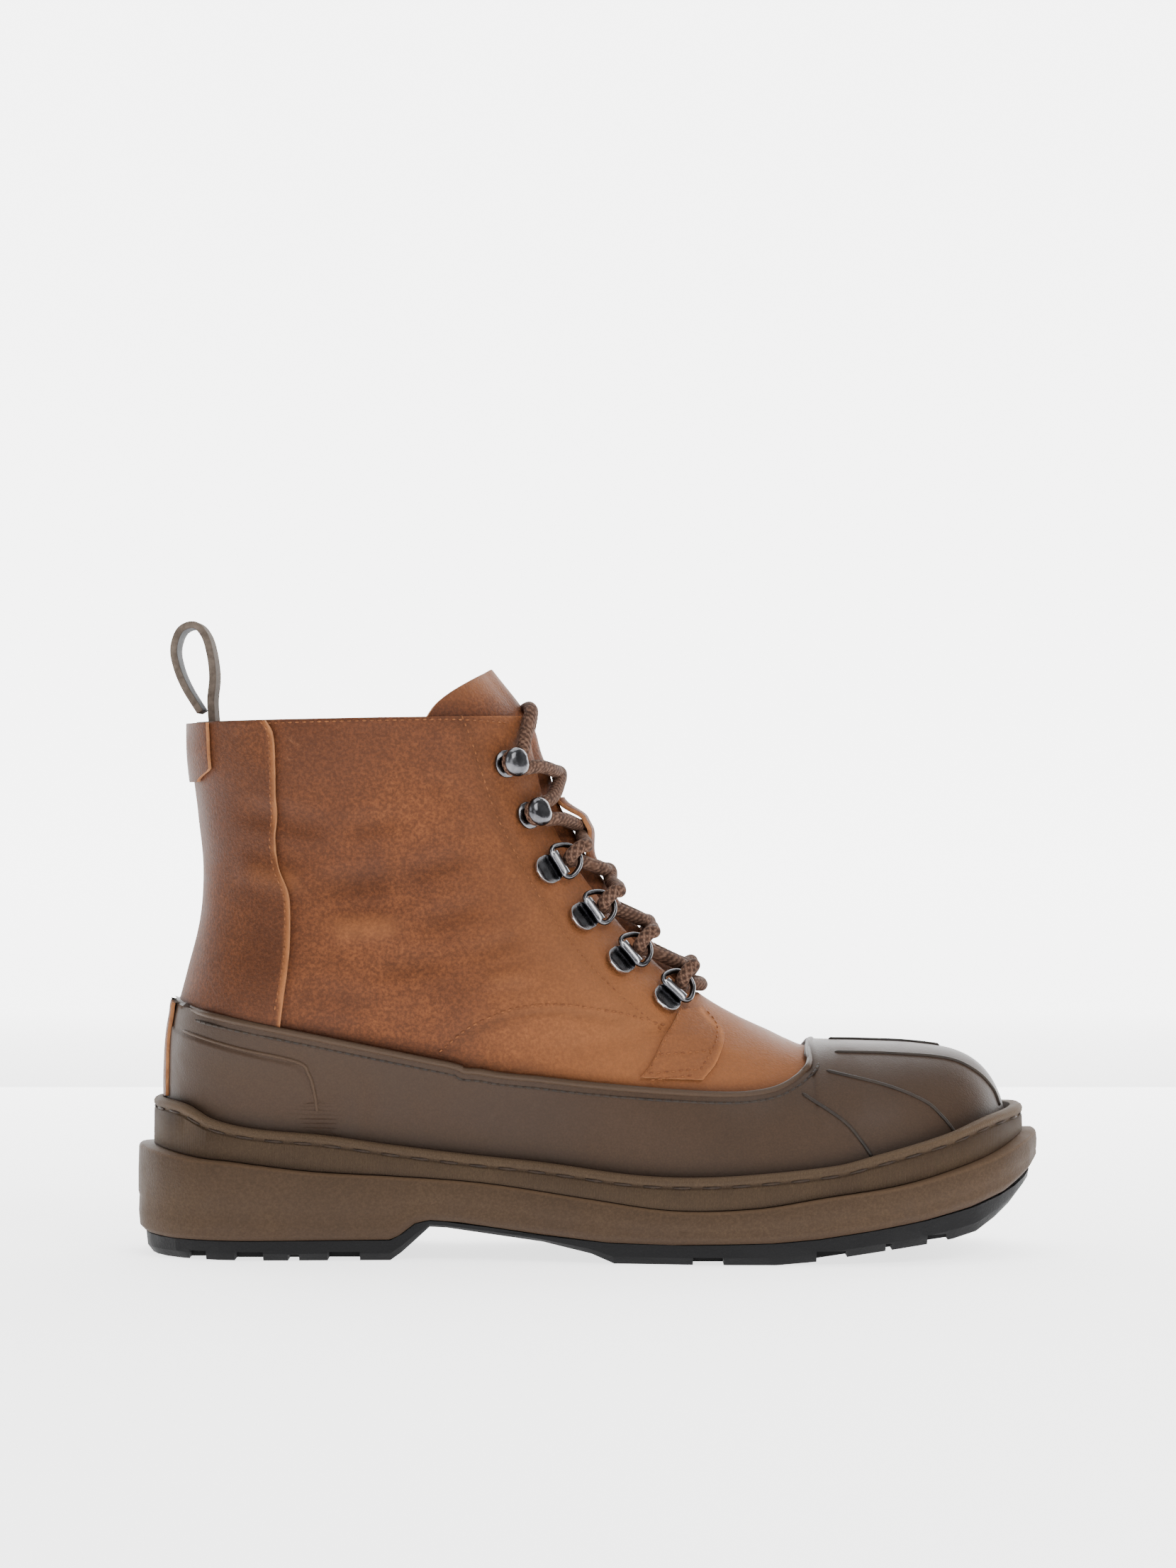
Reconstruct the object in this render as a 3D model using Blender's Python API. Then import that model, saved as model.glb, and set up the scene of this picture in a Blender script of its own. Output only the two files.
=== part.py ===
# Duck boot for the right foot: rubber shell, lugged sole and leather shaft
# Metres, +X to the toe, +Z up, the outer (lateral) side towards -Y
import bpy
import bmesh
from math import acos, cos, pi, radians, sin, sqrt
from mathutils import Vector

MM = 0.001

# Driving sizes
SOLE_LENGTH = 305 * MM
BALL_WIDTH = 112 * MM
HEEL_WIDTH = 81 * MM
TOE_SWING = 5 * MM
SOLE_HEIGHT = 52 * MM
COLLAR_HEIGHT = 181 * MM
SHAFT_WIDTH = 76 * MM
HEEL_ROUND = 41 * MM
TOE_ROUND = 62 * MM

LEDGE_WIDTH = 4.5 * MM
WELT_THICKNESS = 5 * MM
WELT_DEPTH = 8 * MM
WELT_BEAD = 3 * MM
SHELL_THICKNESS = 2.2 * MM
UPPER_WALL = 2 * MM
OVERLAY_THICKNESS = 1.3 * MM
TONGUE_THICKNESS = 3 * MM
INSOLE_THICKNESS = 4 * MM
OUTSOLE_INSET = 3 * MM
FIT_GAP = 0.3 * MM
SHELL_LIFT = 0.45 * MM
OVERLAY_LIFT = 0.6 * MM
INSOLE_CLEARANCE = 3.3 * MM
THROAT_HALF_GAP = 13 * MM
TONGUE_BULGE = 2.4 * MM
KEEPER_THICKNESS = 1.5 * MM
LACE_RADIUS = 2.25 * MM
RING_RADIUS = 0.9 * MM
RING_REACH = 9 * MM
RING_HALF = 5.8 * MM
PLATE_LENGTH = 8.5 * MM
PLATE_WIDTH = 8.4 * MM
PLATE_THICKNESS = 1 * MM
HOOK_BASE_RADIUS = 4.3 * MM
HOOK_STEM_RADIUS = 1.9 * MM
HOOK_CAP_RADIUS = 4.6 * MM
HOOK_CAP_THICKNESS = 2 * MM
EYELET_LIFT = 0.8 * MM
LUG_DEPTH = 3 * MM
LUG_REACH = 16 * MM
SHELL_HEIGHT = 84.5 * MM
HEEL_STRIP_WIDTH = 17 * MM
PULL_TAB_WIDTH = 40 * MM
PULL_TAB_HEIGHT = 22 * MM
LOOP_HEIGHT = 32 * MM
LOOP_WIDTH = 20 * MM
LOOP_THICKNESS = 2.4 * MM

# Half widths of the sole along its length, in shares of half the ball width
# Columns: place from heel (0) to toe (1), outer side, inner side
SOLE_WIDTHS = [
    (0.00, 0.72, 0.71),
    (0.15, 0.73, 0.70),
    (0.30, 0.71, 0.64),
    (0.42, 0.77, 0.65),
    (0.55, 0.92, 0.76),
    (0.66, 1.01, 0.91),
    (0.75, 1.02, 0.97),
    (0.85, 0.98, 0.98),
    (1.00, 0.90, 0.92),
]

# Width of the ledge around the welt, in shares of LEDGE_WIDTH
# Columns: place along the sole, ledge
LEDGE_SHARES = [
    (0.00, 1.00),
    (0.12, 0.90),
    (0.28, 0.35),
    (0.38, 0.12),
    (0.60, 0.12),
    (0.70, 0.40),
    (0.85, 0.75),
    (1.00, 0.90),
]

# Heights of the sole's lines, in shares of SOLE_HEIGHT
# Columns: place along the sole, height
WELT_TOP = [
    (0.00, 1.010),
    (0.04, 0.985),
    (0.08, 0.895),
    (0.14, 0.835),
    (0.21, 0.800),
    (0.29, 0.735),
    (0.37, 0.680),
    (0.45, 0.635),
    (0.54, 0.570),
    (0.60, 0.553),
    (0.67, 0.568),
    (0.77, 0.625),
    (0.81, 0.680),
    (0.90, 0.808),
    (0.955, 0.910),
    (1.00, 0.960),
]
LEDGE_TOP = [
    (0.00, 0.706),
    (0.065, 0.646),
    (0.11, 0.627),
    (0.20, 0.567),
    (0.29, 0.538),
    (0.385, 0.500),
    (0.50, 0.410),
    (0.59, 0.345),
    (0.68, 0.358),
    (0.755, 0.423),
    (0.845, 0.500),
    (0.92, 0.608),
    (0.96, 0.685),
    (1.00, 0.790),
]
MIDSOLE_BOTTOM = [
    (0.00, 0.145),
    (0.04, 0.131),
    (0.14, 0.131),
    (0.285, 0.137),
    (0.295, 0.165),
    (0.312, 0.242),
    (0.327, 0.263),
    (0.36, 0.250),
    (0.447, 0.181),
    (0.52, 0.138),
    (0.59, 0.129),
    (0.645, 0.136),
    (0.70, 0.144),
    (0.75, 0.169),
    (0.807, 0.217),
    (0.864, 0.273),
    (0.92, 0.348),
    (0.96, 0.429),
    (0.985, 0.515),
    (1.00, 0.600),
]
TREAD = [
    (0.00, 0.000),
    (0.285, 0.000),
    (0.295, 0.040),
    (0.312, 0.129),
    (0.327, 0.215),
    (0.36, 0.205),
    (0.447, 0.133),
    (0.50, 0.070),
    (0.525, 0.000),
    (0.73, 0.000),
    (0.76, 0.035),
    (0.83, 0.090),
    (0.89, 0.135),
    (0.925, 0.185),
    (0.945, 0.262),
    (0.96, 0.327),
    (0.975, 0.405),
    (1.00, 0.510),
]

# The form of the boot: each row is one section from the front line to the back seam,
# or from the top line of the foot to the edge where the upper meets the sole.
# Columns: front_x in shares of SOLE_LENGTH from the middle, front_z in shares of the
# height from SOLE_HEIGHT to the collar, back_x as lean in shares of SOLE_LENGTH,
# back_z in shares of the height from the sole's edge to the collar, foot place on the
# sole's outline, middle in shares of half SHAFT_WIDTH, round in shares of the row's
# length, power of the rounding, heel_round in shares of HEEL_ROUND
FORM_COLUMNS = ("front_x", "front_z", "back_x", "back_z", "foot", "middle",
                "round", "power", "heel_round")
FORM = [
    (-0.104, 1.130, 0.022, 1.110, 0.000, 1.000, 0.46, 2.00, 1.25),
    (-0.062, 1.000, 0.022, 0.985, 0.000, 1.000, 0.43, 2.00, 1.25),
    (-0.050, 0.893, 0.023, 0.885, 0.000, 0.980, 0.42, 2.00, 1.24),
    (-0.036, 0.760, 0.030, 0.760, 0.000, 0.950, 0.40, 2.00, 1.20),
    (-0.011, 0.635, 0.036, 0.630, 0.000, 0.930, 0.37, 2.00, 1.14),
    (0.029, 0.500, 0.032, 0.495, 0.000, 0.960, 0.34, 2.00, 1.06),
    (0.068, 0.390, 0.017, 0.365, 0.000, 1.010, 0.31, 2.00, 0.97),
    (0.099, 0.318, 0.003, 0.240, 0.000, 1.040, 0.29, 2.00, 0.88),
    (0.122, 0.272, -0.001, 0.115, 0.000, 1.050, 0.28, 2.00, 0.78),
    (0.143, 0.239, 0.000, 0.000, 0.000, 1.050, 0.28, 2.05, 0.69),
    (0.162, 0.216, 0.000, 0.000, 0.285, 1.065, 0.36, 2.10, 0.69),
    (0.181, 0.195, 0.000, 0.000, 0.405, 1.105, 0.50, 2.15, 0.69),
    (0.201, 0.174, 0.000, 0.000, 0.510, 1.180, 0.74, 2.20, 0.69),
    (0.222, 0.150, 0.000, 0.000, 0.597, 1.290, 0.97, 2.25, 0.69),
    (0.246, 0.131, 0.000, 0.000, 0.675, 1.290, 1.00, 2.30, 0.69),
    (0.300, 0.127, 0.000, 0.000, 0.745, 1.290, 1.00, 2.30, 0.69),
    (0.358, 0.121, 0.000, 0.000, 0.815, 1.290, 1.00, 2.30, 0.69),
    (0.405, 0.103, 0.000, 0.000, 0.880, 1.290, 1.00, 2.30, 0.69),
    (0.434, 0.063, 0.000, 0.000, 0.935, 1.290, 1.00, 2.30, 0.69),
    (0.452, -0.008, 0.000, 0.000, 0.975, 1.290, 1.00, 2.30, 0.69),
    (0.459, -0.080, 0.000, 0.000, 1.000, 1.290, 1.00, 2.30, 0.69),
]
SIDES = (-1, 1)
FIRST_ROW = -1
HEEL_ROW = 8
TOE_ROW = len(FORM) - 1 + FIRST_ROW
TOE_BOX_ROW = 13
INSTEP_RISE = 62 * MM
COLUMNS = 10
THROAT_ROW = 7.0
THROAT_CURVE = 1.6

# Top line of the rubber shell in the side view, from the heel to the toe's top
# Columns: x in shares of SOLE_LENGTH, z in shares of SHELL_HEIGHT
RIM = [
    (-0.448, 0.992),
    (-0.393, 0.954),
    (-0.338, 0.918),
    (-0.245, 0.850),
    (-0.159, 0.787),
    (-0.100, 0.742),
    (-0.053, 0.722),
    (0.018, 0.693),
    (0.096, 0.663),
    (0.150, 0.649),
    (0.183, 0.652),
    (0.207, 0.668),
    (0.228, 0.705),
    (0.241, 0.755),
    (0.246, 0.808),
]
RIM_FRONT_ROW = 13

# Front edge of the back panel in the side view, downwards
# Columns: x in shares of SOLE_LENGTH, z in shares of COLLAR_HEIGHT
PANEL_EDGE = [
    (-0.351, 0.993),
    (-0.341, 0.957),
    (-0.339, 0.844),
    (-0.339, 0.745),
    (-0.325, 0.675),
    (-0.323, 0.620),
    (-0.325, 0.546),
    (-0.334, 0.433),
]
SEAM_STEP = 0.05

# The quarter's wing over the vamp in the side view, downwards
# Columns: rear x, rear z, front x, front z. x is in shares of SOLE_LENGTH, and z in shares
# of the way from the rim beside the wing to the collar
WING_RIM_SHARE = 0.655
WING = [
    (0.098, 0.2106, 0.124, 0.2178),
    (0.092, 0.1818, 0.133, 0.1904),
    (0.082, 0.1429, 0.146, 0.1616),
    (0.073, 0.0997, 0.147, 0.1285),
    (0.064, 0.0637, 0.139, 0.0781),
    (0.056, 0.0435, 0.124, 0.0349),
]

# How far the tongue stands out of the throat
# Columns: row, share of TONGUE_BULGE
TONGUE_CROWN = [(-1, -0.5), (0, -0.5), (1, 0.0), (2, 0.75), (3, 1.0), (5, 0.85), (7, 0.0)]
TONGUE_END_ROW = 7.5

# Middles of the hooks and of the rings' plates in the side view, downwards
# Columns: x in shares of SOLE_LENGTH, z in shares of COLLAR_HEIGHT
HOOKS = [(-0.092, 0.909), (-0.068, 0.813)]
RINGS = [(-0.0385, 0.7185), (-0.0005, 0.6310), (0.0400, 0.5510), (0.0885, 0.4810)]
RING_TILT = 15
LACE_STEP = 1.2 * MM
CROSSING_ROWS = (1.4, 2.6, 3.5, 4.6, 6.0, 6.9)
KEEPER_ROWS = (1.85, 3.25)
KEEPER_TURN = 0.05

# Gaps between the lugs along the sole's edge
# Columns: start and end in shares of SOLE_LENGTH from the middle, depth in shares of LUG_DEPTH
LUG_GAPS = [
    (-0.435, -0.416, 1.0),
    (-0.384, -0.353, 1.0),
    (-0.326, -0.314, 0.7),
    (-0.283, -0.248, 1.0),
    (0.113, 0.146, 0.85),
    (0.246, 0.279, 0.9),
    (0.321, 0.328, 0.8),
    (0.367, 0.390, 0.9),
]

# Side view of the pull loop, from the collar's edge up and over to the inside
# Columns: x and z in shares of LOOP_HEIGHT, from the top of the back seam
LOOP_PATH = [
    (0.06, 0.04),
    (-0.10, 0.30),
    (-0.19, 0.52),
    (-0.22, 0.72),
    (-0.15, 0.91),
    (0.00, 0.96),
    (0.11, 0.84),
    (0.17, 0.62),
    (0.19, 0.40),
    (0.17, 0.16),
    (0.14, -0.10),
    (0.14, -0.45),
]


def mix(a, b, share):
    return a + (b - a) * share


def ease(low, high, value):
    share = min(1.0, max(0.0, (value - low) / (high - low)))
    return share * share * (3 - 2 * share)


def on_line(table, place, column=1):
    if place <= table[0][0]:
        return table[0][column]
    for left, right in zip(table, table[1:]):
        if place <= right[0]:
            return mix(left[column], right[column], (place - left[0]) / (right[0] - left[0]))
    return table[-1][column]


def on_curve(table, place, column=1):
    place = min(table[-1][0], max(table[0][0], place))
    index = 0
    while index < len(table) - 2 and place > table[index + 1][0]:
        index += 1

    def slope(at):
        low = max(0, at - 1)
        high = min(len(table) - 1, at + 1)
        return (table[high][column] - table[low][column]) / (table[high][0] - table[low][0])

    x0, x1 = table[index][0], table[index + 1][0]
    y0, y1 = table[index][column], table[index + 1][column]
    step = x1 - x0
    t = (place - x0) / step
    return (y0 * (2 * t ** 3 - 3 * t ** 2 + 1) + y1 * (3 * t ** 2 - 2 * t ** 3)
            + slope(index) * step * (t ** 3 - 2 * t ** 2 + t)
            + slope(index + 1) * step * (t ** 3 - t ** 2))


def cap(share, power=2.0):
    share = min(1.0, max(0.0, share))
    return (1 - (1 - share) ** power) ** (1 / power)


# Sole outline

def place_of(x):
    return x / SOLE_LENGTH + 0.5


def centre_line(x):
    return TOE_SWING * ease(0.5, 1.0, place_of(x))


def edge(station, side):
    turn = 1
    if station < 0:
        station, turn = -station, -1
    if station > 1:
        station, turn = 2 - station, -1
    place = (1 - cos(pi * station)) / 2
    x = (place - 0.5) * SOLE_LENGTH
    column = 1 if side < 0 else 2
    ball = on_curve(SOLE_WIDTHS, place, column) * BALL_WIDTH / 2
    heel = ball * HEEL_WIDTH / (BALL_WIDTH * SOLE_WIDTHS[0][1])
    half = mix(heel, ball, ease(0.1, 0.5, place))
    half *= cap(place * SOLE_LENGTH / HEEL_ROUND)
    half *= cap((1 - place) * SOLE_LENGTH / TOE_ROUND, 2.2)
    return Vector((x, turn * side * half + centre_line(x)))


def outline(station, side, inset=0.0):
    step = 0.004
    along = edge(station + step, side) - edge(station - step, side)
    out = Vector((along.y, -along.x)) * (-side)
    out.normalize()
    return edge(station, side) - out * inset


def outward(station, side):
    shift = outline(station, side, -MM) - outline(station, side)
    return Vector((shift.x, shift.y, 0)).normalized()


def ledge(x):
    return on_curve(LEDGE_SHARES, place_of(x)) * LEDGE_WIDTH


def welt_top(x):
    return on_curve(WELT_TOP, place_of(x)) * SOLE_HEIGHT


def ledge_top(x):
    return on_curve(LEDGE_TOP, place_of(x)) * SOLE_HEIGHT


def midsole_bottom(x):
    return on_line(MIDSOLE_BOTTOM, place_of(x)) * SOLE_HEIGHT


def tread(x):
    return on_line(TREAD, place_of(x)) * SOLE_HEIGHT


def feather(x):
    return welt_top(x) - WELT_DEPTH


def form_inset(x):
    return ledge(x) + WELT_THICKNESS + SHELL_THICKNESS + SHELL_LIFT + 2.5 * FIT_GAP


# The boot's form

def row_tables():
    named = [dict(zip(FORM_COLUMNS, row)) for row in FORM]
    heel = outline(0.0, -1, form_inset(edge(0.0, -1).x))
    toe = outline(1.0, -1, form_inset(edge(1.0, -1).x))
    heel_z = feather(heel.x)
    tables = {name: [] for name in FORM_COLUMNS}
    for number, row in enumerate(named):
        at = number + FIRST_ROW
        front_x = row["front_x"] * SOLE_LENGTH
        front_z = SOLE_HEIGHT + row["front_z"] * (COLLAR_HEIGHT - SOLE_HEIGHT)
        if at == TOE_ROW:
            front_x, front_z = toe.x, feather(toe.x)
        tables["front_x"].append((at, front_x))
        tables["front_z"].append((at, front_z))
        if at <= HEEL_ROW:
            tables["back_x"].append((at, heel.x + row["back_x"] * SOLE_LENGTH))
            tables["back_z"].append((at, mix(heel_z, COLLAR_HEIGHT, row["back_z"])))
            tables["heel_round"].append((at, row["heel_round"] * HEEL_ROUND))
        if at >= HEEL_ROW:
            tables["foot"].append((at, row["foot"]))
        tables["middle"].append((at, row["middle"]))
        tables["round"].append((at, row["round"]))
        tables["power"].append((at, row["power"]))
    return tables


ROWS = row_tables()


def front_point(row):
    return on_curve(ROWS["front_x"], row), on_curve(ROWS["front_z"], row)


def back_point(row, side):
    if row <= HEEL_ROW:
        return Vector((on_curve(ROWS["back_x"], row), 0, on_curve(ROWS["back_z"], row)))
    station = on_curve(ROWS["foot"], row)
    spot = outline(station, side, form_inset(edge(station, side).x))
    return Vector((spot.x, spot.y, feather(spot.x)))


def along_row(row, turn):
    both = (1 - cos(pi * turn)) / 2
    single = 1 - cos(pi * turn / 2)
    return mix(both, single, ease(HEEL_ROW, HEEL_ROW + 1, row))


def heel_cap(row, x):
    back_x = on_curve(ROWS["back_x"], min(row, HEEL_ROW))
    return cap((x - back_x) / on_curve(ROWS["heel_round"], min(row, HEEL_ROW)))


def edge_halves(side):
    # Half width of the upper at the sole along its length, before the heel's rounding
    halves = []
    for n in range(1, 60):
        station = n / 60
        spot = outline(station, side, form_inset(edge(station, side).x))
        halves.append((spot.x, abs(spot.y - centre_line(spot.x)) / heel_cap(HEEL_ROW, spot.x)))
    return halves


EDGE_HALVES = {side: edge_halves(side) for side in (-1, 1)}


def half_width(side, row, share, x, z, back):
    low = on_line(EDGE_HALVES[side], x)
    if row > TOE_BOX_ROW - 1:
        tip = abs(back.y - centre_line(back.x)) / heel_cap(row, back.x)
        low = mix(low, tip, ease(TOE_BOX_ROW - 1, TOE_BOX_ROW, row))
    middle = on_curve(ROWS["middle"], row) * SHAFT_WIDTH / 2
    middle = mix(middle, low, ease(TOE_BOX_ROW - 3, TOE_BOX_ROW, row))
    half = mix(low, middle, ease(WELT_DEPTH, INSTEP_RISE, z - feather(x)))
    front = cap(share / on_curve(ROWS["round"], row), on_curve(ROWS["power"], row))
    return half * front * heel_cap(row, x)


def form_point(row, turn):
    side = -1 if turn < 0 else 1
    share = along_row(row, abs(turn))
    front_x, front_z = front_point(row)
    back = back_point(row, side)
    x = mix(front_x, back.x, share)
    z = mix(front_z, back.z, share)
    half = half_width(side, row, share, x, z, back)
    return Vector((x, side * half + centre_line(x), z))


def turned(row, turn):
    if row <= HEEL_ROW and abs(turn) > 1:
        turn -= 2 if turn > 0 else -2
    return form_point(row, max(-1.0, min(1.0, turn)))


def form_normal(row, turn):
    if row >= TOE_ROW - 0.001:
        return Vector((1, 0, 0))
    step = 0.012
    across = turned(row, turn + step) - turned(row, turn - step)
    low = max(FIRST_ROW, row - 0.06)
    high = min(TOE_ROW, row + 0.06)
    down = turned(high, turn) - turned(low, turn)
    normal = down.cross(across)
    normal.normalize()
    if row > HEEL_ROW - 0.5:
        side = -1 if turn < 0 else 1
        station = on_curve(ROWS["foot"], max(row, HEEL_ROW))
        upright = ease(0.9, 1.0, abs(turn)) * ease(HEEL_ROW - 0.5, HEEL_ROW, row)
        normal = normal.lerp(outward(station, side), upright)
        normal.normalize()
    return normal


def lifted(row, turn, lift):
    spot = form_point(row, turn) + form_normal(row, turn) * lift
    if row >= HEEL_ROW and abs(turn) > 0.9999 or row >= TOE_ROW:
        spot.z = feather(spot.x)
    return spot


def turn_at_half(row, half):
    # The turn at which the form is this far from the centre line, near the front
    low, high = 0.0, 0.5
    for _ in range(30):
        middle = (low + high) / 2
        spot = form_point(row, middle)
        if spot.y - centre_line(spot.x) < half:
            low = middle
        else:
            high = middle
    return low


def throat_turn(row):
    if row >= THROAT_ROW:
        return 0.0
    closing = max(0.0, (row - THROAT_ROW + THROAT_CURVE) / THROAT_CURVE)
    half = THROAT_HALF_GAP * (1 - 0.12 * ease(0, THROAT_ROW, row)) * sqrt(1 - closing ** 2)
    return turn_at_half(row, half)


# Building solids

def paint(name, colour, roughness, metallic=0.0):
    material = bpy.data.materials.new(name)
    material.use_nodes = True
    shader = material.node_tree.nodes["Principled BSDF"]
    shader.inputs["Base Color"].default_value = (*colour, 1)
    shader.inputs["Roughness"].default_value = roughness
    shader.inputs["Metallic"].default_value = metallic
    return material


def add_object(name, mesh, material):
    thing = bpy.data.objects.new(name, mesh)
    bpy.context.scene.collection.objects.link(thing)
    mesh.materials.append(material)
    thing.parent = stand
    return thing


def finish(name, build, material, sharp=35):
    bmesh.ops.recalc_face_normals(build, faces=build.faces)
    mesh = bpy.data.meshes.new(name)
    build.to_mesh(mesh)
    build.free()
    mesh.shade_smooth()
    mesh.set_sharp_from_angle(angle=radians(sharp))
    return add_object(name, mesh, material)


def wall_solid(name, sheets, low, high, material):
    """One closed wall between two lifts of the form, over sheets of (row, turn)."""
    build = bmesh.new()
    found = {}
    pairs = []
    faces = []

    def corner(row, turn):
        key = (round(row, 6), round(turn, 6))
        if row >= TOE_ROW:
            key = "toe"
        elif key[1] == 0 or (key[1] == -1 and row <= HEEL_ROW):
            key = (key[0], -key[1])
        if key not in found:
            found[key] = len(pairs)
            under = low(row, turn) if callable(low) else low
            over = high(row, turn) if callable(high) else high
            pairs.append((build.verts.new(lifted(row, turn, over)),
                          build.verts.new(lifted(row, turn, under))))
        return found[key]

    for sheet in sheets:
        grid = [[corner(*spot) for spot in line] for line in sheet]
        for upper_line, lower_line in zip(grid, grid[1:]):
            for n in range(len(upper_line) - 1):
                ring = [upper_line[n], upper_line[n + 1], lower_line[n + 1], lower_line[n]]
                ring = [at for i, at in enumerate(ring) if at != ring[i - 1]]
                if len(ring) == 4:
                    ring = ring[1:] + ring[:1]
                if len(set(ring)) > 2:
                    faces.append(ring)
    used = {}
    for ring in faces:
        for n in range(1, len(ring) - 1):
            corners = [ring[0], ring[n], ring[n + 1]]
            build.faces.new([pairs[at][0] for at in corners])
            build.faces.new([pairs[at][1] for at in reversed(corners)])
        for a, b in zip(ring, ring[1:] + ring[:1]):
            used.setdefault(frozenset((a, b)), []).append((a, b))
    for sides in used.values():
        if len(sides) == 1:
            a, b = sides[0]
            build.faces.new([pairs[b][0], pairs[a][0], pairs[a][1], pairs[b][1]])
    return finish(name, build, material)


def stations():
    even = [n / 30 for n in range(31)]
    breast = [acos(1 - 2 * place) / pi for place in (0.285, 0.297, 0.312, 0.327, 0.525, 0.925)]
    return sorted(set(even + breast))


def layer_solid(name, profile, material, ring=False):
    """A solid on the sole's outline: profile gives (inset, height rule) pairs."""
    build = bmesh.new()
    places = stations()
    loop = [(k, -1) for k in places] + [(k, 1) for k in reversed(places[1:-1])]
    columns = []
    for station, side in loop:
        column = []
        x_edge = edge(station, side).x
        for inset, height in profile:
            depth = inset(x_edge) if callable(inset) else inset
            spot = outline(station, side, depth)
            column.append(build.verts.new((spot.x, spot.y, height(spot.x))))
        columns.append(column)
    count = len(profile)
    for here, there in zip(columns, columns[1:] + columns[:1]):
        for n in range(count if ring else count - 1):
            m = (n + 1) % count
            build.faces.new([here[n], there[n], there[m], here[m]])
    if not ring:
        last = len(places) - 1
        for level in (0, count - 1):
            for n in range(last):
                outer = [columns[n][level], columns[n + 1][level]]
                inner = [columns[-n - 1][level] if n + 1 < last else columns[last][level],
                         columns[-n][level] if n else columns[0][level]]
                corners = []
                for vert in outer + inner:
                    if vert not in corners:
                        corners.append(vert)
                build.faces.new(corners)
    return finish(name, build, material)


# The model

for old in list(bpy.data.objects):
    bpy.data.objects.remove(old)

stand = bpy.data.objects.new("boot_stand", None)
bpy.context.scene.collection.objects.link(stand)

BLACK_RUBBER = paint("black rubber", (0.025, 0.025, 0.027), 0.6)
SOLE_RUBBER = paint("brown sole rubber", (0.13, 0.08, 0.045), 0.7)
WELT_RUBBER = paint("brown welt rubber", (0.15, 0.10, 0.06), 0.7)
SHELL_RUBBER = paint("dark brown shell rubber", (0.11, 0.07, 0.05), 0.5)
TAN_LEATHER = paint("tan leather", (0.34, 0.15, 0.065), 0.65)
WEBBING = paint("grey brown webbing", (0.12, 0.10, 0.09), 0.85)
BOARD = paint("insole board", (0.20, 0.13, 0.08), 0.9)
GUNMETAL = paint("gunmetal", (0.22, 0.21, 0.20), 0.3, 1.0)
LACE_CORD = paint("brown lace", (0.12, 0.07, 0.05), 0.85)

# Sole

def add_sole():
    layer_solid("outsole", [
        (OUTSOLE_INSET + 2 * MM, tread),
        (OUTSOLE_INSET, lambda x: mix(tread(x), midsole_bottom(x), 0.35)),
        (OUTSOLE_INSET - 0.5 * MM, lambda x: midsole_bottom(x) - FIT_GAP),
    ], BLACK_RUBBER)
    welt_in = lambda x: ledge(x) + WELT_THICKNESS + FIT_GAP
    layer_solid("midsole", [
        (2.2 * MM, midsole_bottom),
        (0.6 * MM, lambda x: midsole_bottom(x) + 1.6 * MM),
        (0.0, lambda x: mix(midsole_bottom(x), ledge_top(x), 0.4)),
        (0.2 * MM, lambda x: ledge_top(x) - 1.2 * MM),
        (1.0 * MM, ledge_top),
        (welt_in, ledge_top),
        (welt_in, lambda x: feather(x) - FIT_GAP),
    ], SOLE_RUBBER)
    layer_solid("welt", [
        (lambda x: ledge(x) + WELT_THICKNESS, lambda x: ledge_top(x) + FIT_GAP),
        (lambda x: ledge(x) + 0.8 * MM, lambda x: ledge_top(x) + FIT_GAP),
        (lambda x: ledge(x) + 0.8 * MM, lambda x: ledge_top(x) + 0.6 * MM + FIT_GAP),
        (lambda x: ledge(x) + 0.9 * MM, lambda x: welt_top(x) - WELT_BEAD - 1.2 * MM),
        (lambda x: ledge(x) + 1.6 * MM, lambda x: welt_top(x) - WELT_BEAD - 0.4 * MM),
        (lambda x: ledge(x) + 1.1 * MM, lambda x: welt_top(x) - WELT_BEAD / 2),
        (lambda x: ledge(x) + 2.2 * MM, lambda x: welt_top(x) - 0.4 * MM),
        (lambda x: ledge(x) + 3.6 * MM, welt_top),
        (lambda x: ledge(x) + WELT_THICKNESS, lambda x: welt_top(x) - 0.5 * MM),
    ], WELT_RUBBER, ring=True)


# Upper, tongue and insole

def upper_rows():
    shaft = [0, 0.9, 1.8, 2.7, 3.5, 4.2, 4.8, RIM_SEAM_ROW - SEAM_STEP, RIM_SEAM_ROW]
    ankle = [row for row in (6, 6.4, 6.8, 7, 7.5, 8) if row > NEAR_SEAM_ROWS[-1] + 0.1]
    heel = [8.12, 8.26, 8.42, 8.62, 8.85]
    foot = [9.2, 9.6, 10, 10.4, 10.8, 11.2, 11.6, 12]
    foot += NEAR_FRONT_ROWS + [13, 13.6, 14.3, 15]
    toe = [15.7, 16.3, 16.8, 17.2, 17.6, 18, 18.5, 19]
    return shaft + NEAR_SEAM_ROWS + ankle + heel + foot + toe


def column_turns(row):
    return [mix(throat_turn(row), 1.0, n / COLUMNS) for n in range(COLUMNS + 1)]


def overlay_sheet(rows, start, end, side):
    """A sheet whose corners lie on the upper's own columns, between two borders."""
    sheet = []
    for row in rows:
        first, last = start(row), end(row)
        turns = []
        for turn in column_turns(row):
            turn = min(last, max(first, turn))
            if turn - first < 0.014:
                turn = first
            if last - turn < 0.014:
                turn = last
            turns.append(turn)
        sheet.append([(row, side * turn) for turn in turns])
    return sheet


def side_sheet(rows, start, end, columns, side):
    """Rows of (row, turn) from the turn start(row) to the turn end(row) on one side."""
    return [[(row, side * mix(start(row), end(row), n / columns)) for n in range(columns + 1)]
            for row in rows]


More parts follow.
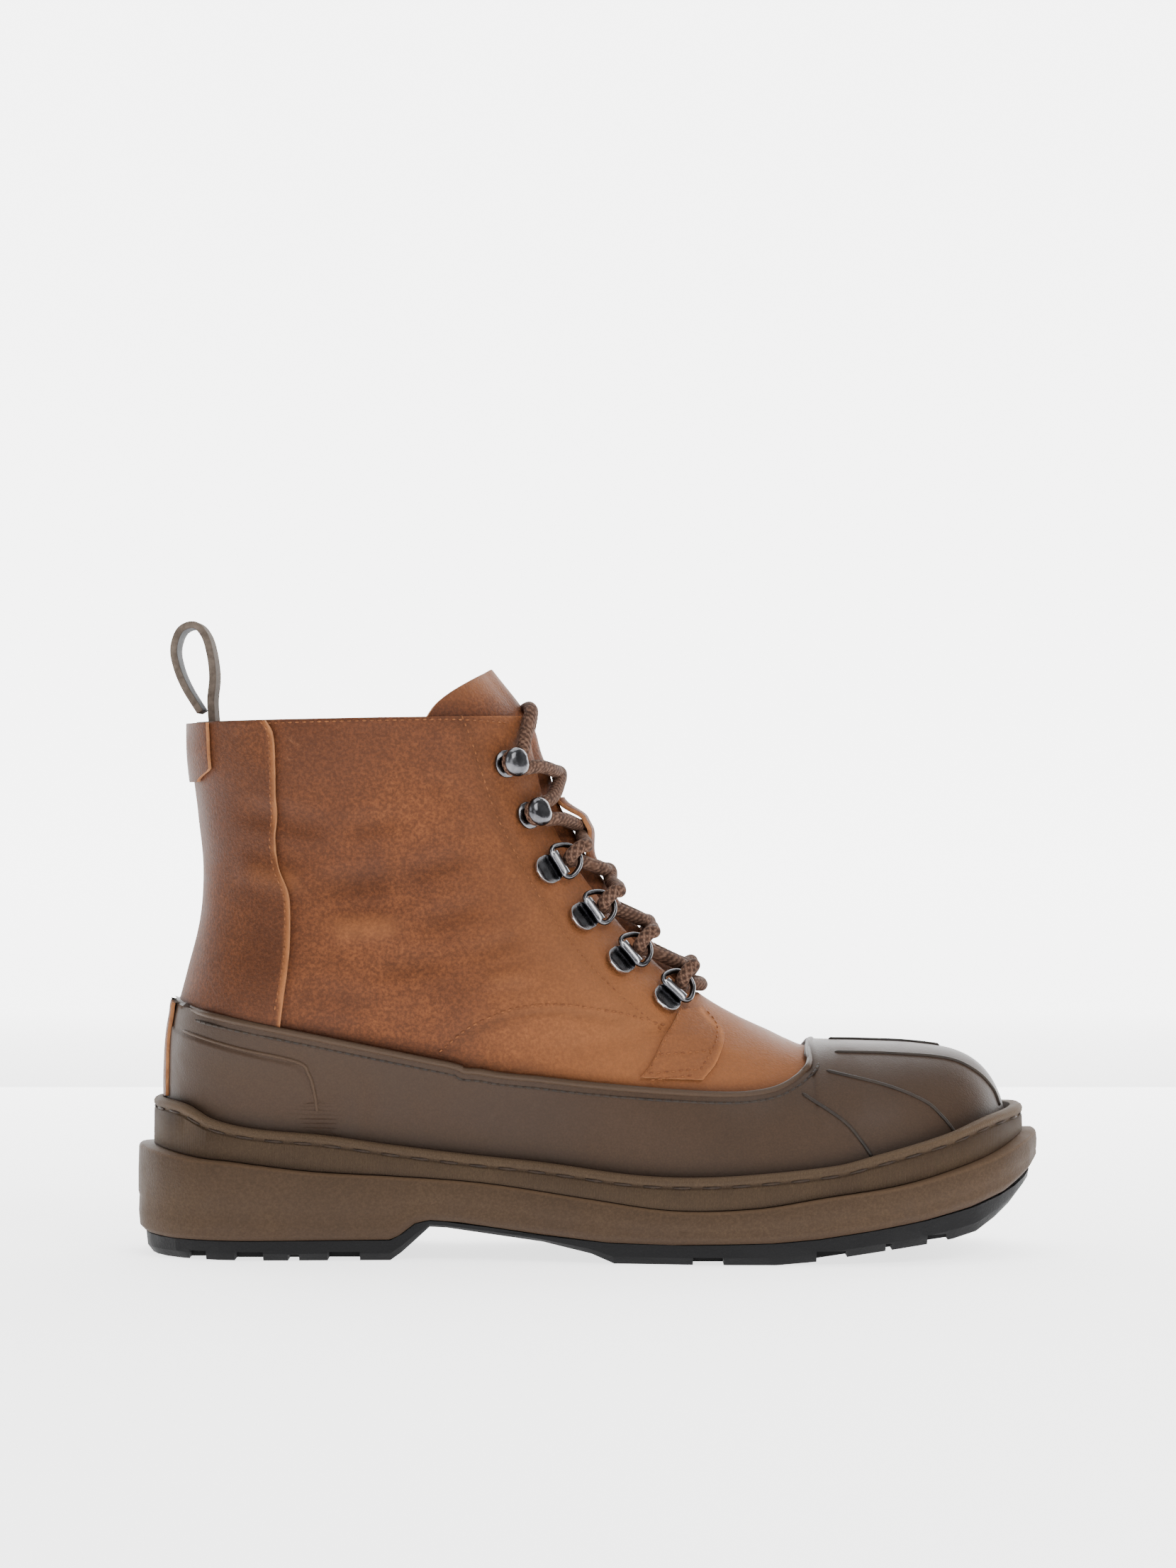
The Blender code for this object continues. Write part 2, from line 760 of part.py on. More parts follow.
def add_upper():
    sheets = [side_sheet(upper_rows(), throat_turn, lambda row: 1.0, COLUMNS, side)
              for side in SIDES]
    wall_solid("upper", sheets, -UPPER_WALL, 0.0, TAN_LEATHER)


def tongue_high(row, turn):
    hidden = -UPPER_WALL - 2 * FIT_GAP
    opening = throat_turn(row)
    if opening < 0.02:
        return hidden
    crown = on_curve(TONGUE_CROWN, row) * TONGUE_BULGE
    crown = mix(hidden, crown, ease(0.02, 0.06, opening))
    return mix(crown, hidden, ease(0.25, 0.9, abs(turn) / opening))


def tongue_low(row, turn):
    return tongue_high(row, turn) - TONGUE_THICKNESS


def tongue_turns(row):
    opening = throat_turn(row)
    return [0.0, 0.35 * opening, 0.7 * opening] + column_turns(row)[:4]


def add_tongue():
    inside = [row for row in upper_rows() if 0.1 < row < TONGUE_END_ROW]
    sheets = []
    for side in SIDES:
        lines = []
        for n in range(-3, len(inside) + 1):
            row = inside[n] if 0 <= n < len(inside) else TONGUE_END_ROW
            turns = tongue_turns(min(row, inside[0]) if n < 0 else row)
            line = []
            for turn in turns:
                share = turn / turns[-1]
                top = FIRST_ROW + 0.8 * share ** 2 + 0.26 * share ** 12
                at = mix(top, inside[0], (n + 3) / 3) if n < 0 else row
                line.append((at, side * turn))
            lines.append(line)
        sheets.append(lines)
    wall_solid("tongue", sheets, tongue_low, tongue_high, TAN_LEATHER)


def add_insole():
    wall = lambda x: form_inset(x) + UPPER_WALL + INSOLE_CLEARANCE
    layer_solid("insole", [
        (wall, feather),
        (wall, lambda x: feather(x) + INSOLE_THICKNESS - MM),
        (lambda x: wall(x) + MM, lambda x: feather(x) + INSOLE_THICKNESS),
    ], BOARD)


# Places named by the side view

def locate(x, z):
    """Row and turn of the form's outer side at this place of the side view."""
    low, high = FIRST_ROW, TOE_ROW
    for _ in range(34):
        row = (low + high) / 2
        front_x, front_z = front_point(row)
        back = back_point(row, -1)
        if (back.x - front_x) * (z - front_z) > (back.z - front_z) * (x - front_x):
            low = row
        else:
            high = row
    span = Vector((back.x - front_x, back.z - front_z))
    share = min(1.0, max(0.0, Vector((x - front_x, z - front_z)).dot(span) / span.length_squared))
    low, high = 0.0, 1.0
    for _ in range(34):
        turn = (low + high) / 2
        if along_row(row, turn) < share:
            low = turn
        else:
            high = turn
    return row, turn


def trace(table, height, count=48):
    """Rows and turns along a line of the side view given as (x, z) shares."""
    numbered = [(n, x * SOLE_LENGTH, z * height) for n, (x, z) in enumerate(table)]
    spots = []
    for n in range(count + 1):
        at = n / count * (len(table) - 1)
        spots.append(locate(on_curve(numbered, at, 1), on_curve(numbered, at, 2)))
    return sorted(spots)


def seam_row(z):
    """Row whose end on the back seam is at this height."""
    low, high = FIRST_ROW, HEEL_ROW
    for _ in range(34):
        row = (low + high) / 2
        if on_curve(ROWS["back_z"], row) > z:
            low = row
        else:
            high = row
    return row


# Shell

def rim_turn(row):
    if row >= RIM_FRONT_ROW:
        return 0.0
    if row <= RIM_SEAM_ROW:
        return 1.0
    return on_line(RIM_TRACE, row)


def near_seam_rows():
    # Near the seam the rim runs almost along a row, so rows meet it on the upper's columns
    along = sorted((turn, row) for row, turn in RIM_TRACE)
    rows = [RIM_SEAM_ROW]
    for n in range(COLUMNS - 1, COLUMNS - 4, -1):
        row = rows[-1]
        for _ in range(4):
            row = on_line(along, column_turns(row)[n])
        rows.append(row)
    return rows[1:]


def near_front_rows():
    # At the toe's top the rim runs almost along a row again
    along = sorted((turn, row) for row, turn in RIM_TRACE)
    return [on_line(along, n / COLUMNS) for n in range(4, 0, -1)]


def add_shell():
    rows = [row for row in upper_rows() if row >= RIM_SEAM_ROW]
    sheets = [overlay_sheet(rows, rim_turn, lambda row: 1.0, side) for side in SIDES]
    wall_solid("shell", sheets, SHELL_LIFT, SHELL_LIFT + SHELL_THICKNESS, SHELL_RUBBER)
    start = RIM_SEAM_ROW + 0.12
    end = seam_row(welt_top(-SOLE_LENGTH / 2) + 1.5 * MM)
    rows = [mix(start, end, n / 6) for n in range(7)]
    low = SHELL_LIFT + SHELL_THICKNESS + FIT_GAP
    sheets = [side_sheet(rows, strip_start, lambda row: 1.0, 3, side) for side in SIDES]
    wall_solid("heel_strip", sheets, low, low + OVERLAY_THICKNESS, TAN_LEATHER)


def turn_from_back(row, half):
    """The turn at which the form is this far from the centre line, near the back seam."""
    low, high = 0.6, 1.0
    for _ in range(30):
        middle = (low + high) / 2
        if abs(form_point(row, middle).y) > half:
            low = middle
        else:
            high = middle
    return low


def strip_start(row):
    return turn_from_back(row, HEEL_STRIP_WIDTH / 2)


# Overlays of the shaft

def add_back_panel():
    edge_line = trace(PANEL_EDGE, COLLAR_HEIGHT)
    start = lambda row: on_line(edge_line, row)
    last = RIM_SEAM_ROW
    while panel_end(last) > start(last):
        last += 0.01
    rows = [0.02] + [row for row in upper_rows() if 0 < row < last - 0.03] + [last]
    end = lambda row: max(start(row) + 0.004, panel_end(row))
    sheets = [overlay_sheet(rows, start, end, side) for side in SIDES]
    wall_solid("back_panel", sheets, OVERLAY_LIFT, OVERLAY_LIFT + OVERLAY_THICKNESS, TAN_LEATHER)


def panel_end(row):
    # The panel ends one of the upper's rows above the shell's rim
    border = [RIM_SEAM_ROW - SEAM_STEP, RIM_SEAM_ROW] + NEAR_SEAM_ROWS
    column = on_line([(at, COLUMNS - n) for n, at in enumerate(border)], row)
    return mix(throat_turn(row), 1.0, column / COLUMNS)


def add_pull_tab():
    low = OVERLAY_LIFT + OVERLAY_THICKNESS + FIT_GAP
    last = seam_row(COLLAR_HEIGHT - PULL_TAB_HEIGHT)
    rows = [mix(0.03, last, share) for share in (0, 0.2, 0.4, 0.6, 0.75, 0.87, 0.96, 1.0)]

    def start(row):
        share = (row - rows[0]) / (last - rows[0])
        return turn_from_back(row, PULL_TAB_WIDTH / 2 * (1 - 0.35 * ease(0.8, 1.0, share)))

    sheets = [side_sheet(rows, start, lambda row: 1.0, 5, side) for side in SIDES]
    wall_solid("pull_tab", sheets, low, low + OVERLAY_THICKNESS, TAN_LEATHER)


def add_wings():
    rim_height = SHELL_HEIGHT * WING_RIM_SHARE
    for side, name in zip(SIDES, ("outer", "inner")):
        lines = []
        for n in range(9):
            at = n / 8 * (len(WING) - 1)
            numbered = [(m, *row) for m, row in enumerate(WING)]
            rear_x, rear_z, front_x, front_z = [on_curve(numbered, at, c) for c in range(1, 5)]
            lines.append([])
            for m in range(6):
                height = mix(rim_height, COLLAR_HEIGHT, mix(rear_z, front_z, m / 5))
                row, turn = locate(mix(rear_x, front_x, m / 5) * SOLE_LENGTH, height)
                lines[-1].append((row, side * turn))
        fronts = {spot: m / 5 for line in lines for m, spot in enumerate(line)}

        def high(row, turn):
            return FIT_GAP + OVERLAY_THICKNESS * mix(0.5, 1.0, ease(0, 0.5, fronts[row, turn]))

        wall_solid("quarter_wing_" + name, [lines], 1.5 * FIT_GAP, high, TAN_LEATHER)


# Pull loop

def add_pull_loop():
    collar_back = form_point(0.0, 1.0)
    beside = form_point(0.0, turn_from_back(0.0, LOOP_WIDTH / 2))
    inside = beside.x + UPPER_WALL + 3 * FIT_GAP + LOOP_THICKNESS / 2
    numbered = [(n, collar_back.x + x * LOOP_HEIGHT, COLLAR_HEIGHT + z * LOOP_HEIGHT)
                for n, (x, z) in enumerate(LOOP_PATH)]
    numbered[-2] = (numbered[-2][0], inside, numbered[-2][2])
    numbered[-1] = (numbered[-1][0], inside, numbered[-1][2])
    path = [Vector((on_curve(numbered, n / 30 * (len(LOOP_PATH) - 1), 1), 0,
                    on_curve(numbered, n / 30 * (len(LOOP_PATH) - 1), 2)))
            for n in range(31)]
    build = bmesh.new()
    rings = []
    for n, spot in enumerate(path):
        along = path[min(30, n + 1)] - path[max(0, n - 1)]
        out = Vector((along.z, 0, -along.x)).normalized() * LOOP_THICKNESS / 2
        half = Vector((0, LOOP_WIDTH / 2, 0))
        rings.append([build.verts.new(spot + offset) for offset in
                      (out - half, out + half, half - out, -out - half)])
    for here, there in zip(rings, rings[1:]):
        for n in range(4):
            m = (n + 1) % 4
            build.faces.new([here[n], here[m], there[m], there[n]])
    build.faces.new(rings[0])
    build.faces.new(rings[-1][::-1])
    finish("pull_loop", build, WEBBING)


# Eyelets, hooks and lace

def place_frame(x, z, side):
    """Middle of an eyelet on the form, with the ways to the throat, up and out."""
    row, turn = locate(x, z)
    spot = form_point(row, side * turn)
    out = form_normal(row, side * turn)
    along = form_point(row - 0.1, side * turn) - form_point(row + 0.1, side * turn)
    up = (along - out * along.dot(out)).normalized()
    forward = up.cross(out) * -side
    return spot, forward, up, out


def extrude_profile(name, frame, profile, half, material):
    """A closed profile of (forward, out) points, drawn out to both sides along up."""
    spot, forward, up, out = frame
    build = bmesh.new()
    ends = [[build.verts.new(spot + forward * f + out * n + up * way) for f, n in profile]
            for way in (-half, half)]
    count = len(profile)
    for n in range(count):
        m = (n + 1) % count
        build.faces.new([ends[0][n], ends[0][m], ends[1][m], ends[1][n]])
    build.faces.new(ends[0][::-1])
    build.faces.new(ends[1])
    finish(name, build, material)


def tube(points, radius, sides, way=None, closed=False):
    """A round tube through these points."""
    build = bmesh.new()
    count = len(points)
    rings = []
    for n, spot in enumerate(points):
        if closed:
            along = points[(n + 1) % count] - points[n - 1]
        else:
            along = points[min(count - 1, n + 1)] - points[max(0, n - 1)]
        along.normalize()
        way = way or along.orthogonal()
        way = (way - along * way.dot(along)).normalized()
        other = along.cross(way)
        rings.append([build.verts.new(spot + (way * cos(2 * pi * k / sides)
                                              + other * sin(2 * pi * k / sides)) * radius)
                      for k in range(sides)])
    pairs = list(zip(rings, rings[1:] + rings[:1] if closed else rings[1:]))
    for here, there in pairs:
        for k in range(sides):
            m = (k + 1) % sides
            build.faces.new([here[k], here[m], there[m], there[k]])
    if not closed:
        build.faces.new(rings[0][::-1])
        build.faces.new(rings[-1])
    return build


def ring_ways(frame):
    spot, forward, up, out = frame
    tilt = radians(RING_TILT)
    reach = forward * cos(tilt) + out * sin(tilt)
    over = out * cos(tilt) - forward * sin(tilt)
    leg = spot + out * (EYELET_LIFT + PLATE_THICKNESS + FIT_GAP + RING_RADIUS)
    return leg, reach, over


def add_d_ring(number, frame, label):
    curl = RING_RADIUS + FIT_GAP
    middle = EYELET_LIFT + PLATE_THICKNESS + curl
    turns = [radians(angle) for angle in range(-90, 151, 40)]
    outside = [(cos(a) * (curl + PLATE_THICKNESS), middle + sin(a) * (curl + PLATE_THICKNESS))
               for a in turns]
    inside = [(cos(a) * curl, middle + sin(a) * curl) for a in reversed(turns)]
    profile = [(-PLATE_LENGTH, EYELET_LIFT), *outside, *inside,
               (-PLATE_LENGTH, EYELET_LIFT + PLATE_THICKNESS)]
    extrude_profile(f"eyelet_plate_{number}_{label}", frame, profile, PLATE_WIDTH / 2, GUNMETAL)
    leg, reach, over = ring_ways(frame)
    up = frame[2]
    points = [leg - up * PLATE_WIDTH * 0.51, leg + up * PLATE_WIDTH * 0.51]
    for angle in (84, 58, 32, 0, -32, -58, -84):
        a = radians(angle)
        points.append(leg + reach * mix(0.12, 1.0, cos(a)) * RING_REACH + up * sin(a) * RING_HALF)
    build = tube(points, RING_RADIUS, 6, over, closed=True)
    finish(f"d_ring_{number}_{label}", build, GUNMETAL, 80)


def hook_heights():
    base = EYELET_LIFT + PLATE_THICKNESS
    lace = base + 2 * FIT_GAP + LACE_RADIUS
    cap_low = lace + LACE_RADIUS + 2 * FIT_GAP
    return base, lace, cap_low, cap_low + HOOK_CAP_THICKNESS


def add_hook(number, frame, label):
    spot, forward, up, out = frame
    base, lace, cap_low, cap_high = hook_heights()
    profile = [
        (0, EYELET_LIFT),
        (HOOK_BASE_RADIUS, EYELET_LIFT),
        (HOOK_BASE_RADIUS, base),
        (HOOK_STEM_RADIUS, base),
        (HOOK_STEM_RADIUS, cap_low),
        (HOOK_CAP_RADIUS, cap_low),
        (HOOK_CAP_RADIUS, mix(cap_low, cap_high, 0.5)),
        (HOOK_CAP_RADIUS * 0.7, cap_high),
        (0, cap_high),
    ]
    build = bmesh.new()
    line = [build.verts.new(spot + forward * r + out * h) for r, h in profile]
    edges = [build.edges.new(pair) for pair in zip(line, line[1:])]
    bmesh.ops.spin(build, geom=line + edges, cent=spot, axis=out, angle=2 * pi, steps=12,
                   use_merge=True)
    bmesh.ops.remove_doubles(build, verts=build.verts, dist=1e-6)
    finish(f"speed_hook_{number}_{label}", build, GUNMETAL)


def ring_turn(frame):
    """The lace's way over a ring's bow, down through the ring and out beneath it."""
    leg, reach, over = ring_ways(frame)
    up = frame[2]
    bow = leg + reach * RING_REACH
    radius = RING_RADIUS + LACE_RADIUS + 2.5 * FIT_GAP
    points = []
    for angle in (135, 90, 45, 0, -45, -90):
        a = radians(angle)
        points.append(bow - reach * cos(a) * radius + over * sin(a) * radius
                      + up * LACE_STEP * sin(a))
    return points


def hook_turn(frame):
    """The lace's way round a hook's stem, from above to below."""
    spot, forward, up, out = frame
    radius = HOOK_STEM_RADIUS + LACE_RADIUS + 1.6 * FIT_GAP
    middle = spot + out * hook_heights()[1]
    return [middle + up * sin(radians(a)) * radius - forward * cos(radians(a)) * radius
            for a in (75, 35, 0, -35, -75)]


def crossing_lift(row):
    return on_curve(TONGUE_CROWN, row) * TONGUE_BULGE + 2 * FIT_GAP + LACE_RADIUS


def over_leather(start, row, towards):
    """Two points of the lace between an eyelet and a crossing, clear of the leather."""
    middle_row, turn = start
    points = []
    for share in towards:
        at = mix(middle_row, row, share)
        lift = mix(LACE_RADIUS * 2, crossing_lift(row), share)
        points.append(lifted(at, turn * (1 - share), lift))
    return points


def add_eyelets():
    for number, (x, z) in enumerate(HOOKS):
        for side, label in zip(SIDES, ("outer", "inner")):
            frame = place_frame(x * SOLE_LENGTH, z * COLLAR_HEIGHT, side)
            add_hook(number + 1, frame, label)
            row, turn = locate(x * SOLE_LENGTH, z * COLLAR_HEIGHT)
            turns[number, side] = hook_turn(frame)
            starts[number, side] = (row, side * turn), (0.35, 0.7)
    for number, (x, z) in enumerate(RINGS):
        for side, label in zip(SIDES, ("outer", "inner")):
            frame = place_frame(x * SOLE_LENGTH, z * COLLAR_HEIGHT, side)
            add_d_ring(number + 1, frame, label)
            row, turn = locate(x * SOLE_LENGTH, z * COLLAR_HEIGHT)
            turns[len(HOOKS) + number, side] = ring_turn(frame)
            starts[len(HOOKS) + number, side] = (row, side * turn), (0.72,)


def add_lace():
    last = len(HOOKS) + len(RINGS) - 1
    strands = []
    for first in SIDES:
        side = first
        points = []
        for number in range(last + 1):
            points += turns[number, side]
            start, shares = starts[number, side]
            row = CROSSING_ROWS[number]
            points += over_leather(start, row, shares)
            if number < last:
                points.append(lifted(row, 0.0, crossing_lift(row)))
                side = -side
                start, shares = starts[number + 1, side]
                points += over_leather(start, row, shares)[::-1]
        strands.append(points)
    points, other = strands
    low = lifted(CROSSING_ROWS[last], 0.0, crossing_lift(CROSSING_ROWS[last]))
    points += [low, low.lerp(other[-1], 0.35)]
    other.append(low)
    lace = finish("lace", tube(points, LACE_RADIUS, 6), LACE_CORD, 80)
    partner = finish("lace_partner", tube(other, LACE_RADIUS * 0.985, 6), LACE_CORD, 80)
    partner.hide_render = True
    partner.display_type = "WIRE"
    union = lace.modifiers.new("crossings", "BOOLEAN")
    union.operation = "UNION"
    union.solver = "EXACT"
    union.object = partner


def add_keeper():
    rows = [mix(KEEPER_ROWS[0], KEEPER_ROWS[1], share)
            for share in (0, 0.06, 0.13, 0.21, 0.5, 0.79, 0.87, 0.94, 1)]

    def low(row, turn):
        share = (row - rows[0]) / (rows[-1] - rows[0])
        rise = ease(0, 0.2, share) * ease(0, 0.2, 1 - share)
        seat = tongue_high(row, turn) + 3 * FIT_GAP
        top = on_curve(TONGUE_CROWN, row) * TONGUE_BULGE + 2 * LACE_RADIUS + 4 * FIT_GAP
        return mix(seat, top, rise)

    lines = [[(row, mix(-KEEPER_TURN, KEEPER_TURN, n / 4)) for n in range(5)] for row in rows]
    wall_solid("lace_keeper", [lines], low,
               lambda row, turn: low(row, turn) + KEEPER_THICKNESS, TAN_LEATHER)


# Lugs

def add_lugs():
    build = bmesh.new()
    for start, end, depth in LUG_GAPS:
        x0, x1 = start * SOLE_LENGTH, end * SOLE_LENGTH
        top = tread((x0 + x1) / 2) + depth * LUG_DEPTH
        for side in SIDES:
            station = acos(1 - 2 * place_of((x0 + x1) / 2)) / pi
            rim = edge(station, side)
            y0 = rim.y - side * LUG_REACH
            y1 = rim.y + side * 6 * MM
            box = bmesh.ops.create_cube(build, size=1)["verts"]
            for vert in box:
                vert.co.x = mix(x0, x1, vert.co.x + 0.5)
                vert.co.y = mix(y0, y1, vert.co.y + 0.5)
                vert.co.z = mix(-2 * MM, top, vert.co.z + 0.5)
    cutter = finish("lug_gaps", build, BLACK_RUBBER)
    cutter.hide_render = True
    cutter.display_type = "WIRE"
    cut = bpy.data.objects["outsole"].modifiers.new("lugs", "BOOLEAN")
    cut.operation = "DIFFERENCE"
    cut.solver = "EXACT"
    cut.object = cutter


RIM_SEAM_ROW = seam_row(SHELL_HEIGHT)
RIM_TRACE = trace(RIM, SHELL_HEIGHT)
NEAR_SEAM_ROWS = near_seam_rows()
NEAR_FRONT_ROWS = near_front_rows()
turns = {}
starts = {}

add_sole()
add_lugs()
add_upper()
add_tongue()
add_insole()
add_shell()
add_back_panel()
add_pull_tab()
add_wings()
add_pull_loop()
add_eyelets()
add_lace()
add_keeper()

# The origin lies under the middle of the boot
widest = [edge(k, side).y for k in stations() for side in SIDES]
stand.location.y = -(min(widest) + max(widest)) / 2
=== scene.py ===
import bpy
import bmesh
from math import cos, pi, radians, sin, sqrt
from mathutils import Matrix, Vector, noise


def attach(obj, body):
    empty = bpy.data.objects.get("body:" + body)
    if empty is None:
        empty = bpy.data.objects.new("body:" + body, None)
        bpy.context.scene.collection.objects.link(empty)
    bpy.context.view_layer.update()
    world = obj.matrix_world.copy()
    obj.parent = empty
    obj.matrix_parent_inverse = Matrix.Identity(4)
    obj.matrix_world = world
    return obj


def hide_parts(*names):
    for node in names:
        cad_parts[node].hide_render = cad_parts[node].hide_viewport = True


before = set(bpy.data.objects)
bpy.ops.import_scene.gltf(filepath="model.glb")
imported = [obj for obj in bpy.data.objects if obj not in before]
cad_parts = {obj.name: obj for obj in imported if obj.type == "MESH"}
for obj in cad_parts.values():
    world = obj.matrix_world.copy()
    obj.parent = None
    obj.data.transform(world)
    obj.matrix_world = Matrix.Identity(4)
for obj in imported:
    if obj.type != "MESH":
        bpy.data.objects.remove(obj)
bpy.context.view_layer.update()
mm = 0.001

# Duck boot, right foot: +X to the toe, the outer side towards -Y
boot = {
    "length": 305 * mm, "ballWidth": 112 * mm, "heelWidth": 81 * mm, "toeSwing": 5 * mm,
    "soleHeight": 52 * mm, "collar": 181 * mm, "shaftWidth": 76 * mm, "heelRound": 41 * mm,
    "toeRound": 62 * mm, "ledge": 4.5 * mm, "weltThickness": 5 * mm, "weltDepth": 8 * mm,
    "shell": 2.2 * mm, "shellLift": 0.45 * mm, "gap": 0.3 * mm,
    "wall": 2 * mm, "overlayLift": 0.6 * mm, "overlay": 1.3 * mm, "instepRise": 62 * mm,
    "shellHeight": 84.5 * mm, "throatHalf": 13 * mm,
}

# Half widths along the sole: place, outer side, inner side, in shares of half the ball width
soleWidths = [
    (0.00, 0.72, 0.71), (0.15, 0.73, 0.70), (0.30, 0.71, 0.64), (0.42, 0.77, 0.65),
    (0.55, 0.92, 0.76), (0.66, 1.01, 0.91), (0.75, 1.02, 0.97), (0.85, 0.98, 0.98),
    (1.00, 0.90, 0.92),
]
# How far the ledge reaches out: place, share
ledgeShares = [(0.00, 1.00), (0.12, 0.90), (0.28, 0.35), (0.38, 0.12), (0.60, 0.12),
               (0.70, 0.40), (0.85, 0.75), (1.00, 0.90)]
# Heights of the sole's lines along it, in shares of its height
weltTopLine = [
    (0.00, 1.010), (0.04, 0.985), (0.08, 0.895), (0.14, 0.835), (0.21, 0.800), (0.29, 0.735),
    (0.37, 0.680), (0.45, 0.635), (0.54, 0.570), (0.60, 0.553), (0.67, 0.568), (0.77, 0.625),
    (0.81, 0.680), (0.90, 0.808), (0.955, 0.910), (1.00, 0.960),
]
ledgeTopLine = [
    (0.00, 0.706), (0.065, 0.646), (0.11, 0.627), (0.20, 0.567), (0.29, 0.538), (0.385, 0.500),
    (0.50, 0.410), (0.59, 0.345), (0.68, 0.358), (0.755, 0.423), (0.845, 0.500), (0.92, 0.608),
    (0.96, 0.685), (1.00, 0.790),
]
midsoleBottomLine = [
    (0.00, 0.145), (0.04, 0.131), (0.14, 0.131), (0.285, 0.137), (0.295, 0.165), (0.312, 0.242),
    (0.327, 0.263), (0.36, 0.250), (0.447, 0.181), (0.52, 0.138), (0.59, 0.129), (0.645, 0.136),
    (0.70, 0.144), (0.75, 0.169), (0.807, 0.217), (0.864, 0.273), (0.92, 0.348), (0.96, 0.429),
    (0.985, 0.515), (1.00, 0.600),
]
# Rows of the form: frontX, frontZ, backX, backZ, foot, middle, round, power, heelRound
formRows = [
    (-0.104, 1.130, 0.022, 1.110, 0.000, 1.000, 0.46, 2.00, 1.25),
    (-0.062, 1.000, 0.022, 0.985, 0.000, 1.000, 0.43, 2.00, 1.25),
    (-0.050, 0.893, 0.023, 0.885, 0.000, 0.980, 0.42, 2.00, 1.24),
    (-0.036, 0.760, 0.030, 0.760, 0.000, 0.950, 0.40, 2.00, 1.20),
    (-0.011, 0.635, 0.036, 0.630, 0.000, 0.930, 0.37, 2.00, 1.14),
    (0.029, 0.500, 0.032, 0.495, 0.000, 0.960, 0.34, 2.00, 1.06),
    (0.068, 0.390, 0.017, 0.365, 0.000, 1.010, 0.31, 2.00, 0.97),
    (0.099, 0.318, 0.003, 0.240, 0.000, 1.040, 0.29, 2.00, 0.88),
    (0.122, 0.272, -0.001, 0.115, 0.000, 1.050, 0.28, 2.00, 0.78),
    (0.143, 0.239, 0.000, 0.000, 0.000, 1.050, 0.28, 2.05, 0.69),
    (0.162, 0.216, 0.000, 0.000, 0.285, 1.065, 0.36, 2.10, 0.69),
    (0.181, 0.195, 0.000, 0.000, 0.405, 1.105, 0.50, 2.15, 0.69),
    (0.201, 0.174, 0.000, 0.000, 0.510, 1.180, 0.74, 2.20, 0.69),
    (0.222, 0.150, 0.000, 0.000, 0.597, 1.290, 0.97, 2.25, 0.69),
    (0.246, 0.131, 0.000, 0.000, 0.675, 1.290, 1.00, 2.30, 0.69),
    (0.300, 0.127, 0.000, 0.000, 0.745, 1.290, 1.00, 2.30, 0.69),
    (0.358, 0.121, 0.000, 0.000, 0.815, 1.290, 1.00, 2.30, 0.69),
    (0.405, 0.103, 0.000, 0.000, 0.880, 1.290, 1.00, 2.30, 0.69),
    (0.434, 0.063, 0.000, 0.000, 0.935, 1.290, 1.00, 2.30, 0.69),
    (0.452, -0.008, 0.000, 0.000, 0.975, 1.290, 1.00, 2.30, 0.69),
    (0.459, -0.080, 0.000, 0.000, 1.000, 1.290, 1.00, 2.30, 0.69),
]
heelRow, toeRow, rimFrontRow, throatRow = 8, 19, 13, 7
# The shell's rim from the heel to the vamp: x in shares of the length, z of the shell's height
rimLine = [
    (-0.448, 0.992), (-0.393, 0.954), (-0.338, 0.918), (-0.245, 0.850), (-0.159, 0.787),
    (-0.100, 0.742), (-0.053, 0.722), (0.018, 0.693), (0.096, 0.663), (0.150, 0.649),
    (0.183, 0.652), (0.207, 0.668), (0.228, 0.705), (0.241, 0.755), (0.246, 0.808),
]


def mix(a, b, share):
    return a + (b - a) * share


def ease(low, high, value):
    share = min(1.0, max(0.0, (value - low) / (high - low)))
    return share * share * (3 - 2 * share)


def onLine(table, place, column=1):
    if place <= table[0][0]:
        return table[0][column]
    for left, right in zip(table, table[1:]):
        if place <= right[0]:
            return mix(left[column], right[column], (place - left[0]) / (right[0] - left[0]))
    return table[-1][column]


def onCurve(table, place, column=1):
    place = min(table[-1][0], max(table[0][0], place))
    index = 0
    while index < len(table) - 2 and place > table[index + 1][0]:
        index += 1

    def slope(at):
        low, high = max(0, at - 1), min(len(table) - 1, at + 1)
        return (table[high][column] - table[low][column]) / (table[high][0] - table[low][0])

    step = table[index + 1][0] - table[index][0]
    t = (place - table[index][0]) / step
    return (table[index][column] * (2 * t ** 3 - 3 * t ** 2 + 1)
            + table[index + 1][column] * (3 * t ** 2 - 2 * t ** 3)
            + slope(index) * step * (t ** 3 - 2 * t ** 2 + t)
            + slope(index + 1) * step * (t ** 3 - t ** 2))


def halve(low, high, below, rounds=24):
    # Halves the way from low to high until it stands where below(value) stops being true
    for _ in range(rounds):
        middle = (low + high) / 2
        if below(middle):
            low = middle
        else:
            high = middle
    return middle


def cap(share, power=2.0):
    share = min(1.0, max(0.0, share))
    return (1 - (1 - share) ** power) ** (1 / power)


def placeOf(x):
    return x / boot["length"] + 0.5


def centreLine(x):
    return boot["toeSwing"] * ease(0.5, 1.0, placeOf(x))


def edge(station, side):
    turn = 1
    if station < 0:
        station, turn = -station, -1
    if station > 1:
        station, turn = 2 - station, -1
    place = (1 - cos(pi * station)) / 2
    x = (place - 0.5) * boot["length"]
    ball = onCurve(soleWidths, place, 1 if side < 0 else 2) * boot["ballWidth"] / 2
    heel = ball * boot["heelWidth"] / (boot["ballWidth"] * soleWidths[0][1])
    half = mix(heel, ball, ease(0.1, 0.5, place))
    half *= cap(place * boot["length"] / boot["heelRound"])
    half *= cap((1 - place) * boot["length"] / boot["toeRound"], 2.2)
    return Vector((x, turn * side * half + centreLine(x)))


